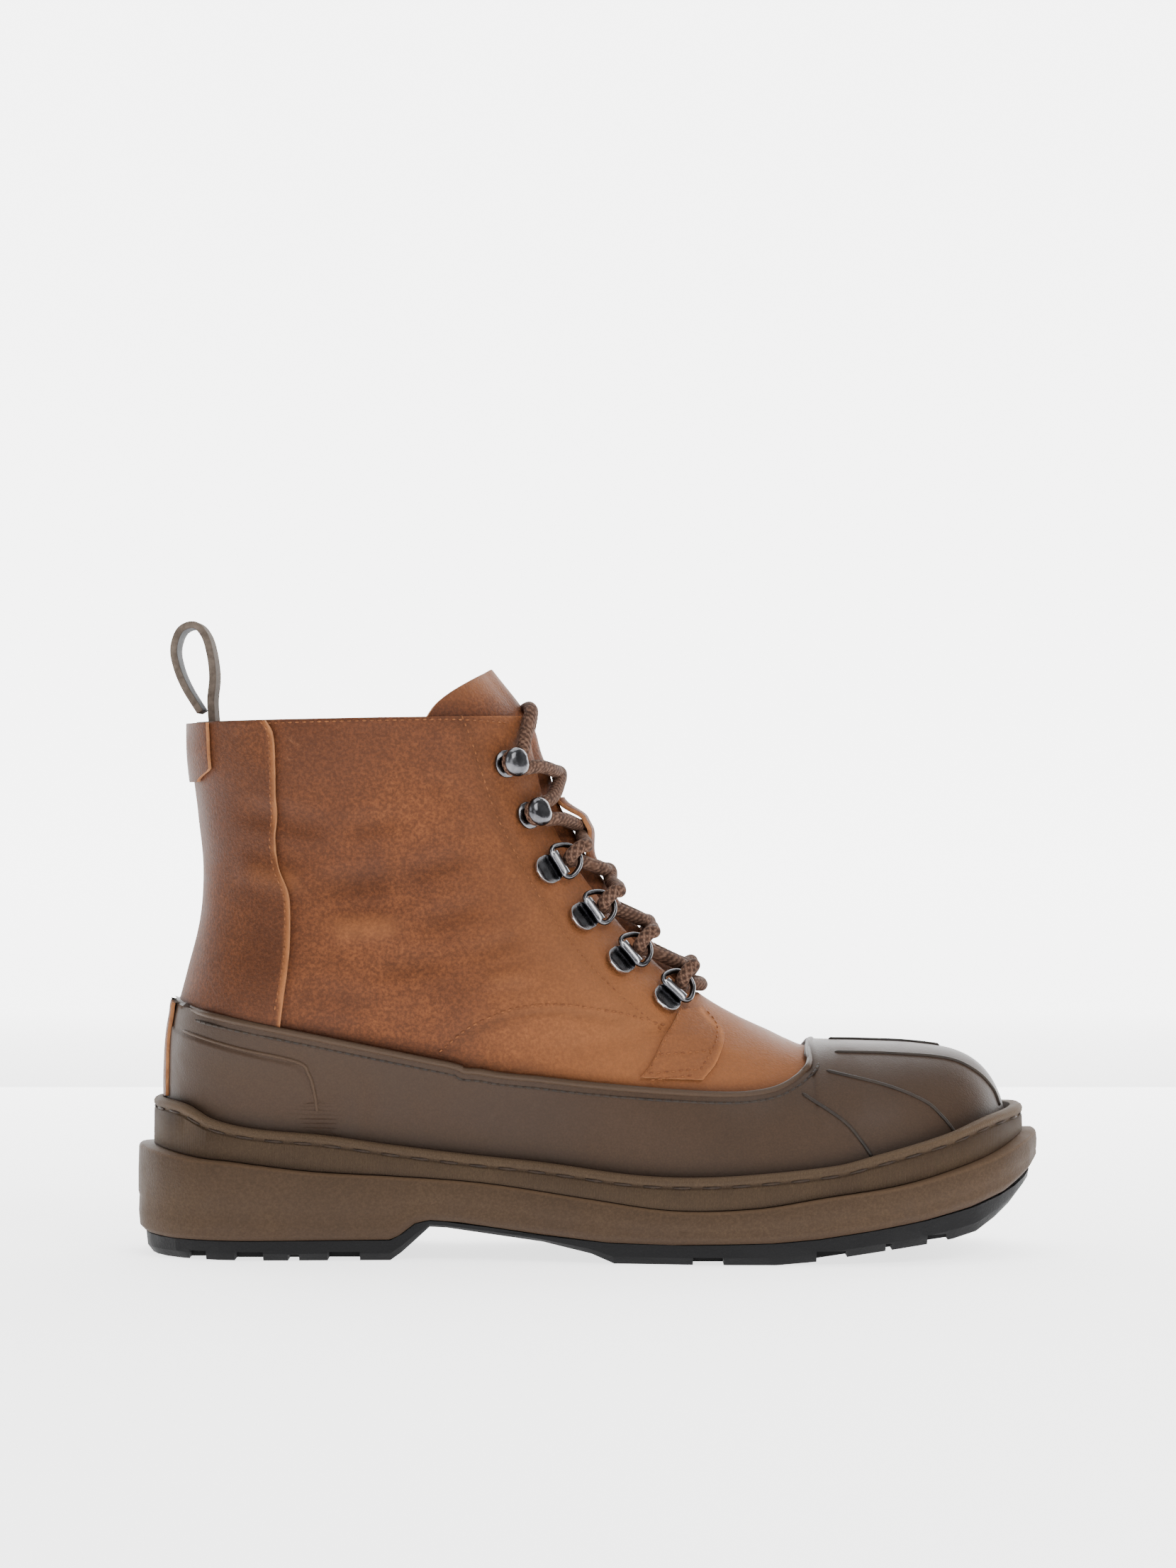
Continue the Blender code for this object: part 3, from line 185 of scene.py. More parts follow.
def outline(station, side, inset=0.0):
    along = edge(station + 0.004, side) - edge(station - 0.004, side)
    out = Vector((along.y, -along.x)) * (-side)
    out.normalize()
    return edge(station, side) - out * inset


def outward(station, side):
    shift = outline(station, side, -mm) - outline(station, side)
    return Vector((shift.x, shift.y, 0)).normalized()


def ledge(x):
    return onCurve(ledgeShares, placeOf(x)) * boot["ledge"]


def weltTop(x):
    return onCurve(weltTopLine, placeOf(x)) * boot["soleHeight"]


def ledgeTop(x):
    return onCurve(ledgeTopLine, placeOf(x)) * boot["soleHeight"]


def midsoleBottom(x):
    return onLine(midsoleBottomLine, placeOf(x)) * boot["soleHeight"]


def feather(x):
    return weltTop(x) - boot["weltDepth"]


def formInset(x):
    return ledge(x) + boot["weltThickness"] + boot["shell"] + boot["shellLift"] + 2.5 * boot["gap"]


heelEnd = outline(0.0, -1, formInset(edge(0.0, -1).x))
toeEnd = outline(1.0, -1, formInset(edge(1.0, -1).x))
rowTable = []
for number, given in enumerate(formRows):
    at = number - 1
    frontX = given[0] * boot["length"]
    frontZ = boot["soleHeight"] + given[1] * (boot["collar"] - boot["soleHeight"])
    if at == toeRow:
        frontX, frontZ = toeEnd.x, feather(toeEnd.x)
    backZ = mix(feather(heelEnd.x), boot["collar"], given[3])
    rowTable.append((at, frontX, frontZ, heelEnd.x + given[2] * boot["length"], backZ, given[4],
                     given[5], given[6], given[7], given[8] * boot["heelRound"]))
lowRows = rowTable[:heelRow + 2]
footRows = rowTable[heelRow + 1:]
rowCache = {}


def rowAt(row):
    key = round(row, 6)
    if key not in rowCache:
        backs = min(row, heelRow)
        values = {"frontX": onCurve(rowTable, row, 1), "frontZ": onCurve(rowTable, row, 2),
                  "backX": onCurve(lowRows, backs, 3), "backZ": onCurve(lowRows, backs, 4),
                  "middle": onCurve(rowTable, row, 6) * boot["shaftWidth"] / 2,
                  "round": onCurve(rowTable, row, 7), "power": onCurve(rowTable, row, 8),
                  "heelRound": onCurve(lowRows, backs, 9)}
        for side in (-1, 1):
            if row <= heelRow:
                values[side] = Vector((values["backX"], 0, values["backZ"]))
            else:
                station = onCurve(footRows, row, 5)
                spot = outline(station, side, formInset(edge(station, side).x))
                values[side] = Vector((spot.x, spot.y, feather(spot.x)))
        rowCache[key] = values
    return rowCache[key]


def heelCap(values, x):
    return cap((x - values["backX"]) / values["heelRound"])


def edgeHalves(side):
    values = rowAt(heelRow)
    halves = []
    for n in range(1, 60):
        spot = outline(n / 60, side, formInset(edge(n / 60, side).x))
        halves.append((spot.x, abs(spot.y - centreLine(spot.x)) / heelCap(values, spot.x)))
    return halves


halvesAt = {side: edgeHalves(side) for side in (-1, 1)}
widest = [edge(n / 30, side).y for n in range(31) for side in (-1, 1)]
shiftY = -(min(widest) + max(widest)) / 2        # the CAD stands centred over its box


def turnShare(row, turn):
    # How far along its row a turn stands, from the front middle (0) to the back or the feather (1)
    both = (1 - cos(pi * turn)) / 2
    single = 1 - cos(pi * turn / 2)
    return mix(both, single, ease(heelRow, heelRow + 1, row))


def formPoint(row, turn):
    side = -1 if turn < 0 else 1
    values = rowAt(row)
    back = values[side]
    share = turnShare(row, abs(turn))
    x = mix(values["frontX"], back.x, share)
    z = mix(values["frontZ"], back.z, share)
    low = onLine(halvesAt[side], x)
    if row > 12:
        tip = abs(back.y - centreLine(back.x)) / heelCap(values, back.x)
        low = mix(low, tip, ease(12, 13, row))
    middle = mix(values["middle"], low, ease(10, 13, row))
    half = mix(low, middle, ease(boot["weltDepth"], boot["instepRise"], z - feather(x)))
    half *= cap(share / values["round"], values["power"]) * heelCap(values, x)
    return Vector((x, side * half + centreLine(x) + shiftY, z))


def turned(row, turn):
    if row <= heelRow and abs(turn) > 1:
        turn -= 2 if turn > 0 else -2
    return formPoint(row, max(-1.0, min(1.0, turn)))


def formNormal(row, turn):
    if row >= toeRow - 0.001:
        return Vector((1, 0, 0))
    across = turned(row, turn + 0.012) - turned(row, turn - 0.012)
    down = turned(min(toeRow, row + 0.06), turn) - turned(max(-1, row - 0.06), turn)
    normal = down.cross(across).normalized()
    if row > heelRow - 0.5:
        side = -1 if turn < 0 else 1
        station = onCurve(footRows, max(row, heelRow), 5)
        upright = ease(0.9, 1.0, abs(turn)) * ease(heelRow - 0.5, heelRow, row)
        normal = normal.lerp(outward(station, side), upright).normalized()
    return normal


def lifted(row, turn, lift):
    return formPoint(row, turn) + formNormal(row, turn) * lift


def throatTurn(row):
    if row >= throatRow:
        return 0.0
    closing = max(0.0, (row - throatRow + 1.6) / 1.6)
    half = boot["throatHalf"] * (1 - 0.12 * ease(0, throatRow, row)) * sqrt(1 - closing ** 2)

    def inside(turn):
        spot = formPoint(row, turn)
        return spot.y - shiftY - centreLine(spot.x) < half

    return halve(0.0, 0.5, inside)


def locate(x, z):
    # Row and turn of the outer side at this place of the side view
    def rowEnds(row):
        values = rowAt(row)
        back, frontX, frontZ = values[-1], values["frontX"], values["frontZ"]
        return Vector((back.x - frontX, back.z - frontZ)), Vector((x - frontX, z - frontZ))

    def under(row):
        run, offset = rowEnds(row)
        return run.x * offset.y > run.y * offset.x

    row = halve(-1, toeRow, under, 30)
    run, offset = rowEnds(row)
    share = min(1.0, max(0.0, offset.dot(run) / run.length_squared))
    return row, halve(0.0, 1.0, lambda turn: turnShare(row, turn) < share, 30)


def sideLine(points, step=2.0):
    # A smooth line of the side view, in millimetres, as rows and turns about a step apart
    numbered = [(n, x * mm, z * mm) for n, (x, z) in enumerate(points)]
    length = sum((Vector(b) - Vector(a)).length for a, b in zip(points, points[1:]))
    count = max(2, round(length / step))
    return [locate(onCurve(numbered, n / count * (len(points) - 1), 1),
                   onCurve(numbered, n / count * (len(points) - 1), 2)) for n in range(count + 1)]


def seamRow(z):
    return halve(-1, heelRow, lambda row: rowAt(row)["backZ"] > z, 30)


rimSeamRow = seamRow(boot["shellHeight"])
rimInMm = [(x * boot["length"] / mm, z * boot["shellHeight"] / mm) for x, z in rimLine]
rimTrace = sorted(sideLine(rimInMm, 4))


def rimTurn(row):
    if row >= rimFrontRow:
        return 0.0
    if row <= rimSeamRow:
        return 1.0
    return onLine(rimTrace, row)


def turnFromBack(row, half):
    return halve(0.6, 1.0, lambda turn: abs(formPoint(row, turn).y - shiftY) > half)


def lineDistance(points, x, z):
    # Nearest distance in the side view, in millimetres, and how far above the line
    best, above = 1e9, 0
    for (ax, az), (bx, bz) in zip(points, points[1:]):
        dx, dz = bx - ax, bz - az
        share = min(1.0, max(0.0, ((x - ax) * dx + (z - az) * dz) / (dx * dx + dz * dz)))
        ox, oz = x - ax - dx * share, z - az - dz * share
        near = ox * ox + oz * oz
        if near < best:
            best, above = near, dx * oz - dz * ox
    return sqrt(best), above


print("form ready")

# Camera and lights

camera = bpy.data.objects.new("camera", bpy.data.cameras.new("camera"))
bpy.context.scene.collection.objects.link(camera)
camera.location = (0, -1.5, 0.158)
camera.rotation_euler = (radians(90), 0, 0)
camera.data.sensor_fit = "VERTICAL"
camera.data.sensor_height = 36
camera.data.lens = 101.3
bpy.context.scene.camera = camera

studio = {
    "world": (0.98, 0.98, 0.98), "worldStrength": 0.5, "floor": (0.98, 0.98, 0.98),
    # how far back the glow rises, in metres, and from what share to what
    "floorGlow": 4.6, "glowRange": (0.0, 1.5, 0.46, 1.0),
    "sweepStart": 0.8, "sweepRound": 2.6, "sweepTop": 1.5,
    # name, place, size, watts, colour
    "lamps": [
        ("key", (0.75, -0.95, 1.15), 0.8, 15, (1.0, 0.99, 0.97)),
        ("side", (-1.1, -0.9, 0.7), 0.7, 3, (1.0, 1.0, 1.0)),
        ("top", (0.15, 0.2, 1.5), 1.0, 12, (1.0, 1.0, 1.0)),
        ("front", (0.35, -1.7, 0.35), 0.9, 4, (1.0, 1.0, 1.0)),
    ],
}
world = bpy.data.worlds.new("studio")
world.use_nodes = True
world.node_tree.nodes["Background"].inputs["Color"].default_value = (*studio["world"], 1)
world.node_tree.nodes["Background"].inputs["Strength"].default_value = studio["worldStrength"]
bpy.context.scene.world = world
for name, place, size, watts, colour in studio["lamps"]:
    lamp = bpy.data.lights.new(name, "AREA")
    lamp.size, lamp.energy, lamp.color = size, watts, colour
    holder = bpy.data.objects.new(name, lamp)
    holder.location = place
    holder.rotation_euler = (Vector((0, 0, 0.08)) - Vector(place)).to_track_quat("-Z", "Y").to_euler()
    bpy.context.scene.collection.objects.link(holder)

sweep = bmesh.new()          # floor that runs up into the backdrop
front = [sweep.verts.new((x, -4, 0)) for x in (-6, 6)]
line = [sweep.edges.new(front)]
for step in range(14):
    made = bmesh.ops.extrude_edge_only(sweep, edges=line)["geom"]
    angle = radians(90) * max(0, step - 1) / 12
    for vert in [item for item in made if isinstance(item, bmesh.types.BMVert)]:
        vert.co.y = studio["sweepStart"] + sin(angle) * studio["sweepRound"]
        vert.co.z = (1 - cos(angle)) * studio["sweepRound"] + (studio["sweepTop"] if step == 13 else 0)
    line = [item for item in made if isinstance(item, bmesh.types.BMEdge)]
sweepMesh = bpy.data.meshes.new("floor")
bmesh.ops.recalc_face_normals(sweep, faces=sweep.faces)
sweep.to_mesh(sweepMesh)
sweepMesh.shade_smooth()
floor = bpy.data.objects.new("floor", sweepMesh)
bpy.context.scene.collection.objects.link(floor)
floorPaint = bpy.data.materials.new("pale floor")
floorPaint.use_nodes = True
floorTree = floorPaint.node_tree          # the backdrop glows more than the floor at the boot
floorPlace = floorTree.nodes.new("ShaderNodeTexCoord")
floorParts = floorTree.nodes.new("ShaderNodeSeparateXYZ")
floorGlow = floorTree.nodes.new("ShaderNodeMapRange")
for socket, value in enumerate(studio["glowRange"], 1):
    floorGlow.inputs[socket].default_value = value
floorTree.links.new(floorPlace.outputs["Object"], floorParts.inputs[0])
floorTree.links.new(floorParts.outputs[1], floorGlow.inputs[0])
floorLook = floorTree.nodes["Principled BSDF"].inputs
floorTree.links.new(floorGlow.outputs[0], floorLook["Emission Color"])
floorLook["Base Color"].default_value = (*studio["floor"], 1)
floorLook["Roughness"].default_value = 0.9
floorLook["Emission Strength"].default_value = studio["floorGlow"]
floorLook["Specular IOR Level"].default_value = 0.1
sweepMesh.materials.append(floorPaint)
print("camera and studio ready")


# Shared shader groups

def newGroup(name, inputs, outputs):
    group = bpy.data.node_groups.new(name, "ShaderNodeTree")
    for label, kind, value in inputs:
        socket = group.interface.new_socket(label, in_out="INPUT", socket_type=kind)
        if value is not None:
            socket.default_value = value
    for label, kind in outputs:
        group.interface.new_socket(label, in_out="OUTPUT", socket_type=kind)
    return group, group.nodes.new("NodeGroupInput"), group.nodes.new("NodeGroupOutput")


def addNode(tree, kind, inputs=None, **settings):
    made = tree.nodes.new(kind)
    for key, value in settings.items():
        setattr(made, key, value)
    for key, value in (inputs or {}).items():
        if isinstance(value, bpy.types.NodeSocket):
            tree.links.new(value, made.inputs[key])
        else:
            made.inputs[key].default_value = value
    return made


def blendColours(tree, factor, first, second, way="MIX"):
    made = tree.nodes.new("ShaderNodeMix")
    made.data_type, made.blend_type = "RGBA", way
    for key, value in ((0, factor), (6, first), (7, second)):
        if isinstance(value, bpy.types.NodeSocket):
            tree.links.new(value, made.inputs[key])
        else:
            made.inputs[key].default_value = value if key == 0 or len(value) == 4 else (*value, 1)
    return made.outputs[2]


def ramp(tree, value, low, high, lowOut=0.0, highOut=1.0):
    return addNode(tree, "ShaderNodeMapRange", {0: value, 1: low, 2: high, 3: lowOut, 4: highOut},
                   interpolation_type="SMOOTHSTEP").outputs[0]


# Mottle: slow patches of light and dark with finer cloud in them, 0 to 1
mottle, given, out = newGroup("mottle", [("Vector", "NodeSocketVector", None),
                                         ("Size", "NodeSocketFloat", 30.0),
                                         ("Contrast", "NodeSocketFloat", 0.25)],
                              [("Value", "NodeSocketFloat")])
slow = addNode(mottle, "ShaderNodeTexNoise", {"Vector": given.outputs[0], "Scale": given.outputs[1],
                                              "Detail": 6.0, "Roughness": 0.6, "Distortion": 0.4})
lowEnd = addNode(mottle, "ShaderNodeMath", {0: 0.5, 1: given.outputs[2]}, operation="SUBTRACT")
highEnd = addNode(mottle, "ShaderNodeMath", {0: 0.5, 1: given.outputs[2]}, operation="ADD")
mottle.links.new(ramp(mottle, slow.outputs[0], lowEnd.outputs[0], highEnd.outputs[0]), out.inputs[0])

# Grain: small pebbles of leather or moulded rubber, as a height
grain, given, out = newGroup("grain", [("Vector", "NodeSocketVector", None),
                                       ("Size", "NodeSocketFloat", 900.0),
                                       ("Fine", "NodeSocketFloat", 2400.0)],
                             [("Height", "NodeSocketFloat")])
pebble = addNode(grain, "ShaderNodeTexVoronoi", {"Vector": given.outputs[0], "Scale": given.outputs[1],
                                                 "Randomness": 1.0}, feature="SMOOTH_F1")
fine = addNode(grain, "ShaderNodeTexNoise", {"Vector": given.outputs[0], "Scale": given.outputs[2],
                                             "Detail": 4.0})
both = addNode(grain, "ShaderNodeMath", {0: pebble.outputs[0], 1: 0.8, 2: fine.outputs[0]},
               operation="MULTIPLY_ADD")
grain.links.new(both.outputs[0], out.inputs[0])

# Scuffs: thin pale scratches and specks, 0 to 1
scuffs, given, out = newGroup("scuffs", [("Vector", "NodeSocketVector", None),
                                         ("Size", "NodeSocketFloat", 90.0),
                                         ("Amount", "NodeSocketFloat", 0.12)],
                              [("Mask", "NodeSocketFloat")])
scratch = addNode(scuffs, "ShaderNodeTexNoise", {"Vector": given.outputs[0], "Scale": given.outputs[1],
                                                 "Detail": 8.0, "Roughness": 0.75, "Distortion": 1.5})
level = addNode(scuffs, "ShaderNodeMath", {0: 0.75, 1: given.outputs[2]}, operation="SUBTRACT")
scuffs.links.new(ramp(scuffs, scratch.outputs[0], level.outputs[0], 0.8), out.inputs[0])


def useGroup(tree, group, inputs):
    made = addNode(tree, "ShaderNodeGroup", node_tree=group)
    for key, value in inputs.items():
        if isinstance(value, bpy.types.NodeSocket):
            tree.links.new(value, made.inputs[key])
        else:
            made.inputs[key].default_value = value
    return made.outputs[0]


def newFinish(name, look):
    # A Principled finish from mottled colours, scuffs, painted shade and painted light with some edge wear
    # from masks, and a grain bump
    material = bpy.data.materials.new(name)
    material.use_nodes = True
    tree = material.node_tree
    shader = tree.nodes["Principled BSDF"]
    place = addNode(tree, "ShaderNodeTexCoord").outputs["Object"]
    patches = useGroup(tree, mottle, {"Vector": place, "Size": look.get("patch", 30.0),
                                      "Contrast": look.get("contrast", 0.22)})
    colour = blendColours(tree, patches, look["dark"], look["light"])
    if "mid" in look:
        small = useGroup(tree, mottle, {"Vector": place, "Size": look.get("speck", 260.0),
                                        "Contrast": 0.2})
        share = addNode(tree, "ShaderNodeMath", {0: small, 1: look.get("midShare", 0.5)},
                        operation="MULTIPLY").outputs[0]
        colour = blendColours(tree, share, colour, look["mid"])
    if "fleck" in look:
        nap = addNode(tree, "ShaderNodeTexNoise", {"Vector": place, "Scale": look["fleckSize"],
                                                   "Detail": 5.0, "Roughness": 0.7}).outputs[0]
        colour = blendColours(tree, ramp(tree, nap, 0.38, 0.66, look["fleckShare"], 0.0), colour,
                              look["fleck"])
    if "scuff" in look:
        marks = useGroup(tree, scuffs, {"Vector": place, "Size": look.get("scuffSize", 90.0),
                                        "Amount": look.get("scuffs", 0.12)})
        share = addNode(tree, "ShaderNodeMath", {0: marks, 1: look.get("scuffShare", 0.6)},
                        operation="MULTIPLY").outputs[0]
        colour = blendColours(tree, share, colour, look["scuff"])
    # blends in painted shade, and painted light and highlights along with some edge wear, from each piece's
    # masks
    for label in ("shade", "worn"):
        if label in look:
            layer = addNode(tree, "ShaderNodeAttribute", attribute_name=label).outputs["Fac"]
            colour = blendColours(tree, layer, colour, look[label])
    tree.links.new(colour, shader.inputs["Base Color"])
    rough = ramp(tree, patches, 0.0, 1.0, look["rough"][0], look["rough"][1])
    tree.links.new(rough, shader.inputs["Roughness"])
    height = useGroup(tree, grain, {"Vector": place, "Size": look.get("grain", 900.0),
                                    "Fine": 2400.0})
    if "ribs" in look:
        along = addNode(tree, "ShaderNodeAttribute", attribute_name="arc").outputs["Fac"]
        turns = addNode(tree, "ShaderNodeMath", {0: along, 1: 2 * pi / look["ribs"]},
                        operation="MULTIPLY").outputs[0]
        wave = addNode(tree, "ShaderNodeMath", {0: turns}, operation="SINE").outputs[0]
        height = addNode(tree, "ShaderNodeMath", {0: wave, 1: 0.6, 2: height},
                         operation="MULTIPLY_ADD").outputs[0]
    bump = addNode(tree, "ShaderNodeBump", {"Strength": look.get("bump", 0.25),
                                            "Distance": look.get("depth", 0.0003), "Height": height})
    tree.links.new(bump.outputs[0], shader.inputs["Normal"])
    shader.inputs["Metallic"].default_value = look.get("metal", 0.0)
    shader.inputs["Specular IOR Level"].default_value = look.get("gloss", 0.5)
    shader.inputs["Sheen Weight"].default_value = look.get("sheen", 0.0)
    return material


# in each finish the shade colour is painted shade, and the lighter mask colour is painted light and
# highlights, in places also edge wear
finishes = {
    "leather": {"dark": (0.080, 0.025, 0.0095), "light": (0.178, 0.060, 0.022),
                "mid": (0.098, 0.031, 0.0115), "midShare": 0.55, "patch": 26.0, "contrast": 0.24,
                "speck": 320.0,
                "scuff": (0.235, 0.100, 0.045), "scuffSize": 130.0, "scuffs": 0.14, "scuffShare": 0.55,
                "shade": (0.030, 0.011, 0.005), "worn": (0.34, 0.13, 0.045),
                "fleck": (0.032, 0.011, 0.005), "fleckSize": 950.0, "fleckShare": 0.6,
                "rough": (0.50, 0.68), "grain": 1100.0, "bump": 0.55, "gloss": 0.14},
    "leather edge": {"dark": (0.24, 0.092, 0.032), "light": (0.36, 0.155, 0.060), "patch": 200.0,
                     "rough": (0.75, 0.9), "grain": 2500.0, "bump": 0.5},
    "leather lining": {"dark": (0.13, 0.064, 0.032), "light": (0.20, 0.105, 0.056), "patch": 60.0,
                       "rough": (0.75, 0.9), "grain": 1600.0, "bump": 0.3, "sheen": 0.1},
    "shell rubber": {"dark": (0.033, 0.0183, 0.0106), "light": (0.047, 0.027, 0.0163),
                     "mid": (0.040, 0.0228, 0.0137), "fleck": (0.022, 0.0125, 0.0075),
                     "fleckSize": 1500.0, "fleckShare": 0.35, "patch": 22.0, "speck": 420.0,
                     "scuff": (0.075, 0.049, 0.032), "scuffSize": 160.0, "scuffs": 0.10,
                     "shade": (0.018, 0.011, 0.007), "worn": (0.115, 0.075, 0.047),
                     "rough": (0.42, 0.60), "grain": 1800.0, "bump": 0.22, "gloss": 0.16},
    # a near-black colour painted as the shade of grooves and of the toe's ridges
    "painted groove shade": {"dark": (0.010, 0.006, 0.004), "light": (0.026, 0.017, 0.011), "patch": 60.0,
                     "rough": (0.5, 0.65), "grain": 1800.0, "bump": 0.15, "gloss": 0.3},
    "welt rubber": {"ribs": 0.55 * mm, "dark": (0.047, 0.029, 0.0165), "light": (0.062, 0.040, 0.0235),
                    "patch": 40.0, "fleck": (0.028, 0.017, 0.010), "fleckSize": 1300.0,
                    "fleckShare": 0.4, "scuff": (0.10, 0.067, 0.041),
                    "shade": (0.024, 0.014, 0.008), "worn": (0.092, 0.060, 0.036),
                    "rough": (0.6, 0.75), "grain": 1500.0, "bump": 0.35, "gloss": 0.14},
    "midsole rubber": {"dark": (0.043, 0.0250, 0.0140), "light": (0.060, 0.037, 0.0215), "patch": 30.0,
                       "mid": (0.051, 0.031, 0.0175), "fleck": (0.025, 0.0145, 0.0085),
                       "fleckSize": 1100.0, "fleckShare": 0.45, "speck": 500.0,
                       "scuff": (0.13, 0.085, 0.052), "scuffs": 0.1,
                       "shade": (0.026, 0.014, 0.008), "worn": (0.12, 0.072, 0.04),
                       "rough": (0.6, 0.76), "grain": 1300.0, "bump": 0.35, "depth": 0.0004, "gloss": 0.14},
    "outsole rubber": {"dark": (0.0045, 0.0045, 0.005), "light": (0.009, 0.009, 0.0095), "patch": 40.0,
                       "scuff": (0.035, 0.034, 0.032), "scuffs": 0.12, "rough": (0.55, 0.75),
                       "grain": 1100.0, "bump": 0.35, "gloss": 0.12},
    # its lighter mask colour is a painted highlight on the eyelet plates' borders and curls
    "gunmetal": {"dark": (0.055, 0.055, 0.060), "light": (0.15, 0.15, 0.16),
                 "worn": (0.50, 0.50, 0.52), "patch": 180.0, "rough": (0.14, 0.26),
                 "grain": 3000.0, "bump": 0.05, "metal": 1.0},
    "lace cord": {"dark": (0.042, 0.021, 0.014), "light": (0.086, 0.046, 0.031), "patch": 500.0,
                  "shade": (0.020, 0.010, 0.007), "worn": (0.17, 0.10, 0.07),
                  "rough": (0.75, 0.9), "grain": 2600.0, "bump": 0.4, "gloss": 0.1},
    "light thread": {"dark": (0.105, 0.036, 0.014), "light": (0.21, 0.080, 0.031), "patch": 400.0,
                     "rough": (0.6, 0.8), "grain": 4000.0, "bump": 0.2, "gloss": 0.15},
    "dark thread": {"dark": (0.016, 0.010, 0.007), "light": (0.036, 0.023, 0.015), "patch": 400.0,
                    "rough": (0.55, 0.75), "grain": 4000.0, "bump": 0.2, "gloss": 0.2},
    "loop webbing": {"dark": (0.062, 0.048, 0.038), "light": (0.115, 0.092, 0.075), "patch": 300.0,
                     "rough": (0.8, 0.95), "grain": 1600.0, "bump": 0.6, "gloss": 0.1},
    "loop lining": {"dark": (0.010, 0.010, 0.011), "light": (0.024, 0.024, 0.026), "patch": 300.0,
                    "rough": (0.8, 0.95), "grain": 1600.0, "bump": 0.6, "sheen": 0.2},
    "insole board": {"dark": (0.15, 0.10, 0.065), "light": (0.23, 0.16, 0.11), "patch": 50.0,
                     "rough": (0.85, 0.95), "grain": 1800.0, "bump": 0.4},
}
paints = {name: newFinish(name, look) for name, look in finishes.items()}
print("finishes ready")


# Building pieces

def sheetMesh(sides, rows, start, end, columns):
    # Grids of the form's rows and turns, one for each side, welded where they meet
    build = bmesh.new()
    rowLayer = build.verts.layers.float.new("row")
    turnLayer = build.verts.layers.float.new("turn")
    for side in sides:
        verts = bmesh.ops.create_grid(build, x_segments=columns, y_segments=len(rows) - 1,
                                      size=1)["verts"]
        for vert in verts:
            row = rows[round((1 - vert.co.y) / 2 * (len(rows) - 1))]
            share = round((vert.co.x + 1) / 2 * columns) / columns
            turn = side * mix(start(row), end(row), share)
            vert[rowLayer], vert[turnLayer] = row, turn
            vert.co = formPoint(row, turn)
    bmesh.ops.remove_doubles(build, verts=build.verts, dist=2e-6)
    bmesh.ops.recalc_face_normals(build, faces=build.faces)
    wide = max(build.faces, key=lambda face: abs(face.calc_center_median().y - shiftY)
               * abs(face.normal.y))
    if wide.normal.y * (wide.calc_center_median().y - shiftY) < 0:
        bmesh.ops.reverse_faces(build, faces=build.faces)
    build.normal_update()
    return build, rowLayer, turnLayer


def raiseSheet(build, layers, lift):
    # Moves each corner out along the form's own normal by lift(row, turn, place)
    ways = {vert: vert.normal.copy() for vert in build.verts}
    for vert in build.verts:
        row, turn = vert[layers[0]], vert[layers[1]]
        way = ways[vert]
        if row > heelRow and abs(turn) > 0.97:       # the foot's border stands upright on the welt
            way = Vector((way.x, way.y, way.z * 0.2)).normalized()
        vert.co += way * lift(row, turn, vert.co)


def addMasks(mesh, shade=None, worn=None):
    # masks of painted shade, and of painted light and highlights along with some edge wear
    for label, rule in (("shade", shade), ("worn", worn)):
        layer = mesh.attributes.new(label, "FLOAT", "POINT")
        if rule:
            layer.data.foreach_set("value", [min(1.0, max(0.0, rule(v.co))) for v in mesh.vertices])


def addPiece(name, build, paintNames, nodes, sharp=40):
    mesh = bpy.data.meshes.new(name)
    build.to_mesh(mesh)
    build.free()
    mesh.shade_smooth()
    mesh.set_sharp_from_angle(angle=radians(sharp))
    for label in paintNames:
        mesh.materials.append(paints[label])
    piece = bpy.data.objects.new(name, mesh)
    bpy.context.scene.collection.objects.link(piece)
    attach(piece, "root")
    if nodes:
        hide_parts(*nodes)
    return piece


def roundEdges(piece, width, angle):
    rounding = piece.modifiers.new("rounding", "BEVEL")
    rounding.width, rounding.segments = width, 2
    rounding.limit_method, rounding.angle_limit = "ANGLE", radians(angle)


def solid(piece, thickness, innerSlot=0, edgeSlot=0, bevel=0.0):
    wall = piece.modifiers.new("wall", "SOLIDIFY")
    wall.thickness = thickness
    wall.offset = -1
    wall.use_even_offset = False
    wall.material_offset = innerSlot
    wall.material_offset_rim = edgeSlot
    if bevel:
        roundEdges(piece, bevel, 50)
    return piece


def addSheet(name, node, labels, rows, start, end, columns, lift, thickness, bevel=0.0):
    # A walled sheet on the form, raised by lift(row, turn, place)
    build, rowLayer, turnLayer = sheetMesh((-1, 1), rows, start, end, columns)
    raiseSheet(build, (rowLayer, turnLayer), lift)
    return solid(addPiece(name, build, labels, [node]), thickness, 1, 2, bevel)


def fine(count):
    return count


def span(start, end, count):
    return [mix(start, end, n / count) for n in range(count + 1)]


def stitchRow(build, line, length=1.7 * mm, thick=0.34 * mm, every=2.5 * mm):
    # Sunk thread stitches along points with their normals
    travelled, nextAt = 0.0, every / 2
    for (spotA, normalA), (spotB, normalB) in zip(line, line[1:]):
        run = (spotB - spotA).length
        if run < 1e-7:
            continue
        while nextAt <= travelled + run:
            share = (nextAt - travelled) / run
            spot = spotA.lerp(spotB, share)
            normal = normalA.lerp(normalB, share).normalized()
            along = (spotB - spotA).normalized()
            across = normal.cross(along).normalized()
            turnTo = Matrix((along, across, normal)).transposed().to_4x4()
            place = Matrix.Translation(spot) @ turnTo @ Matrix.Diagonal((length / 2, thick, thick * 0.9, 1))
            bmesh.ops.create_icosphere(build, subdivisions=1, radius=1, matrix=place)
            nextAt += every
        travelled += run


# Seams, stitches and ridges of the outer side, in mm as seen from the side

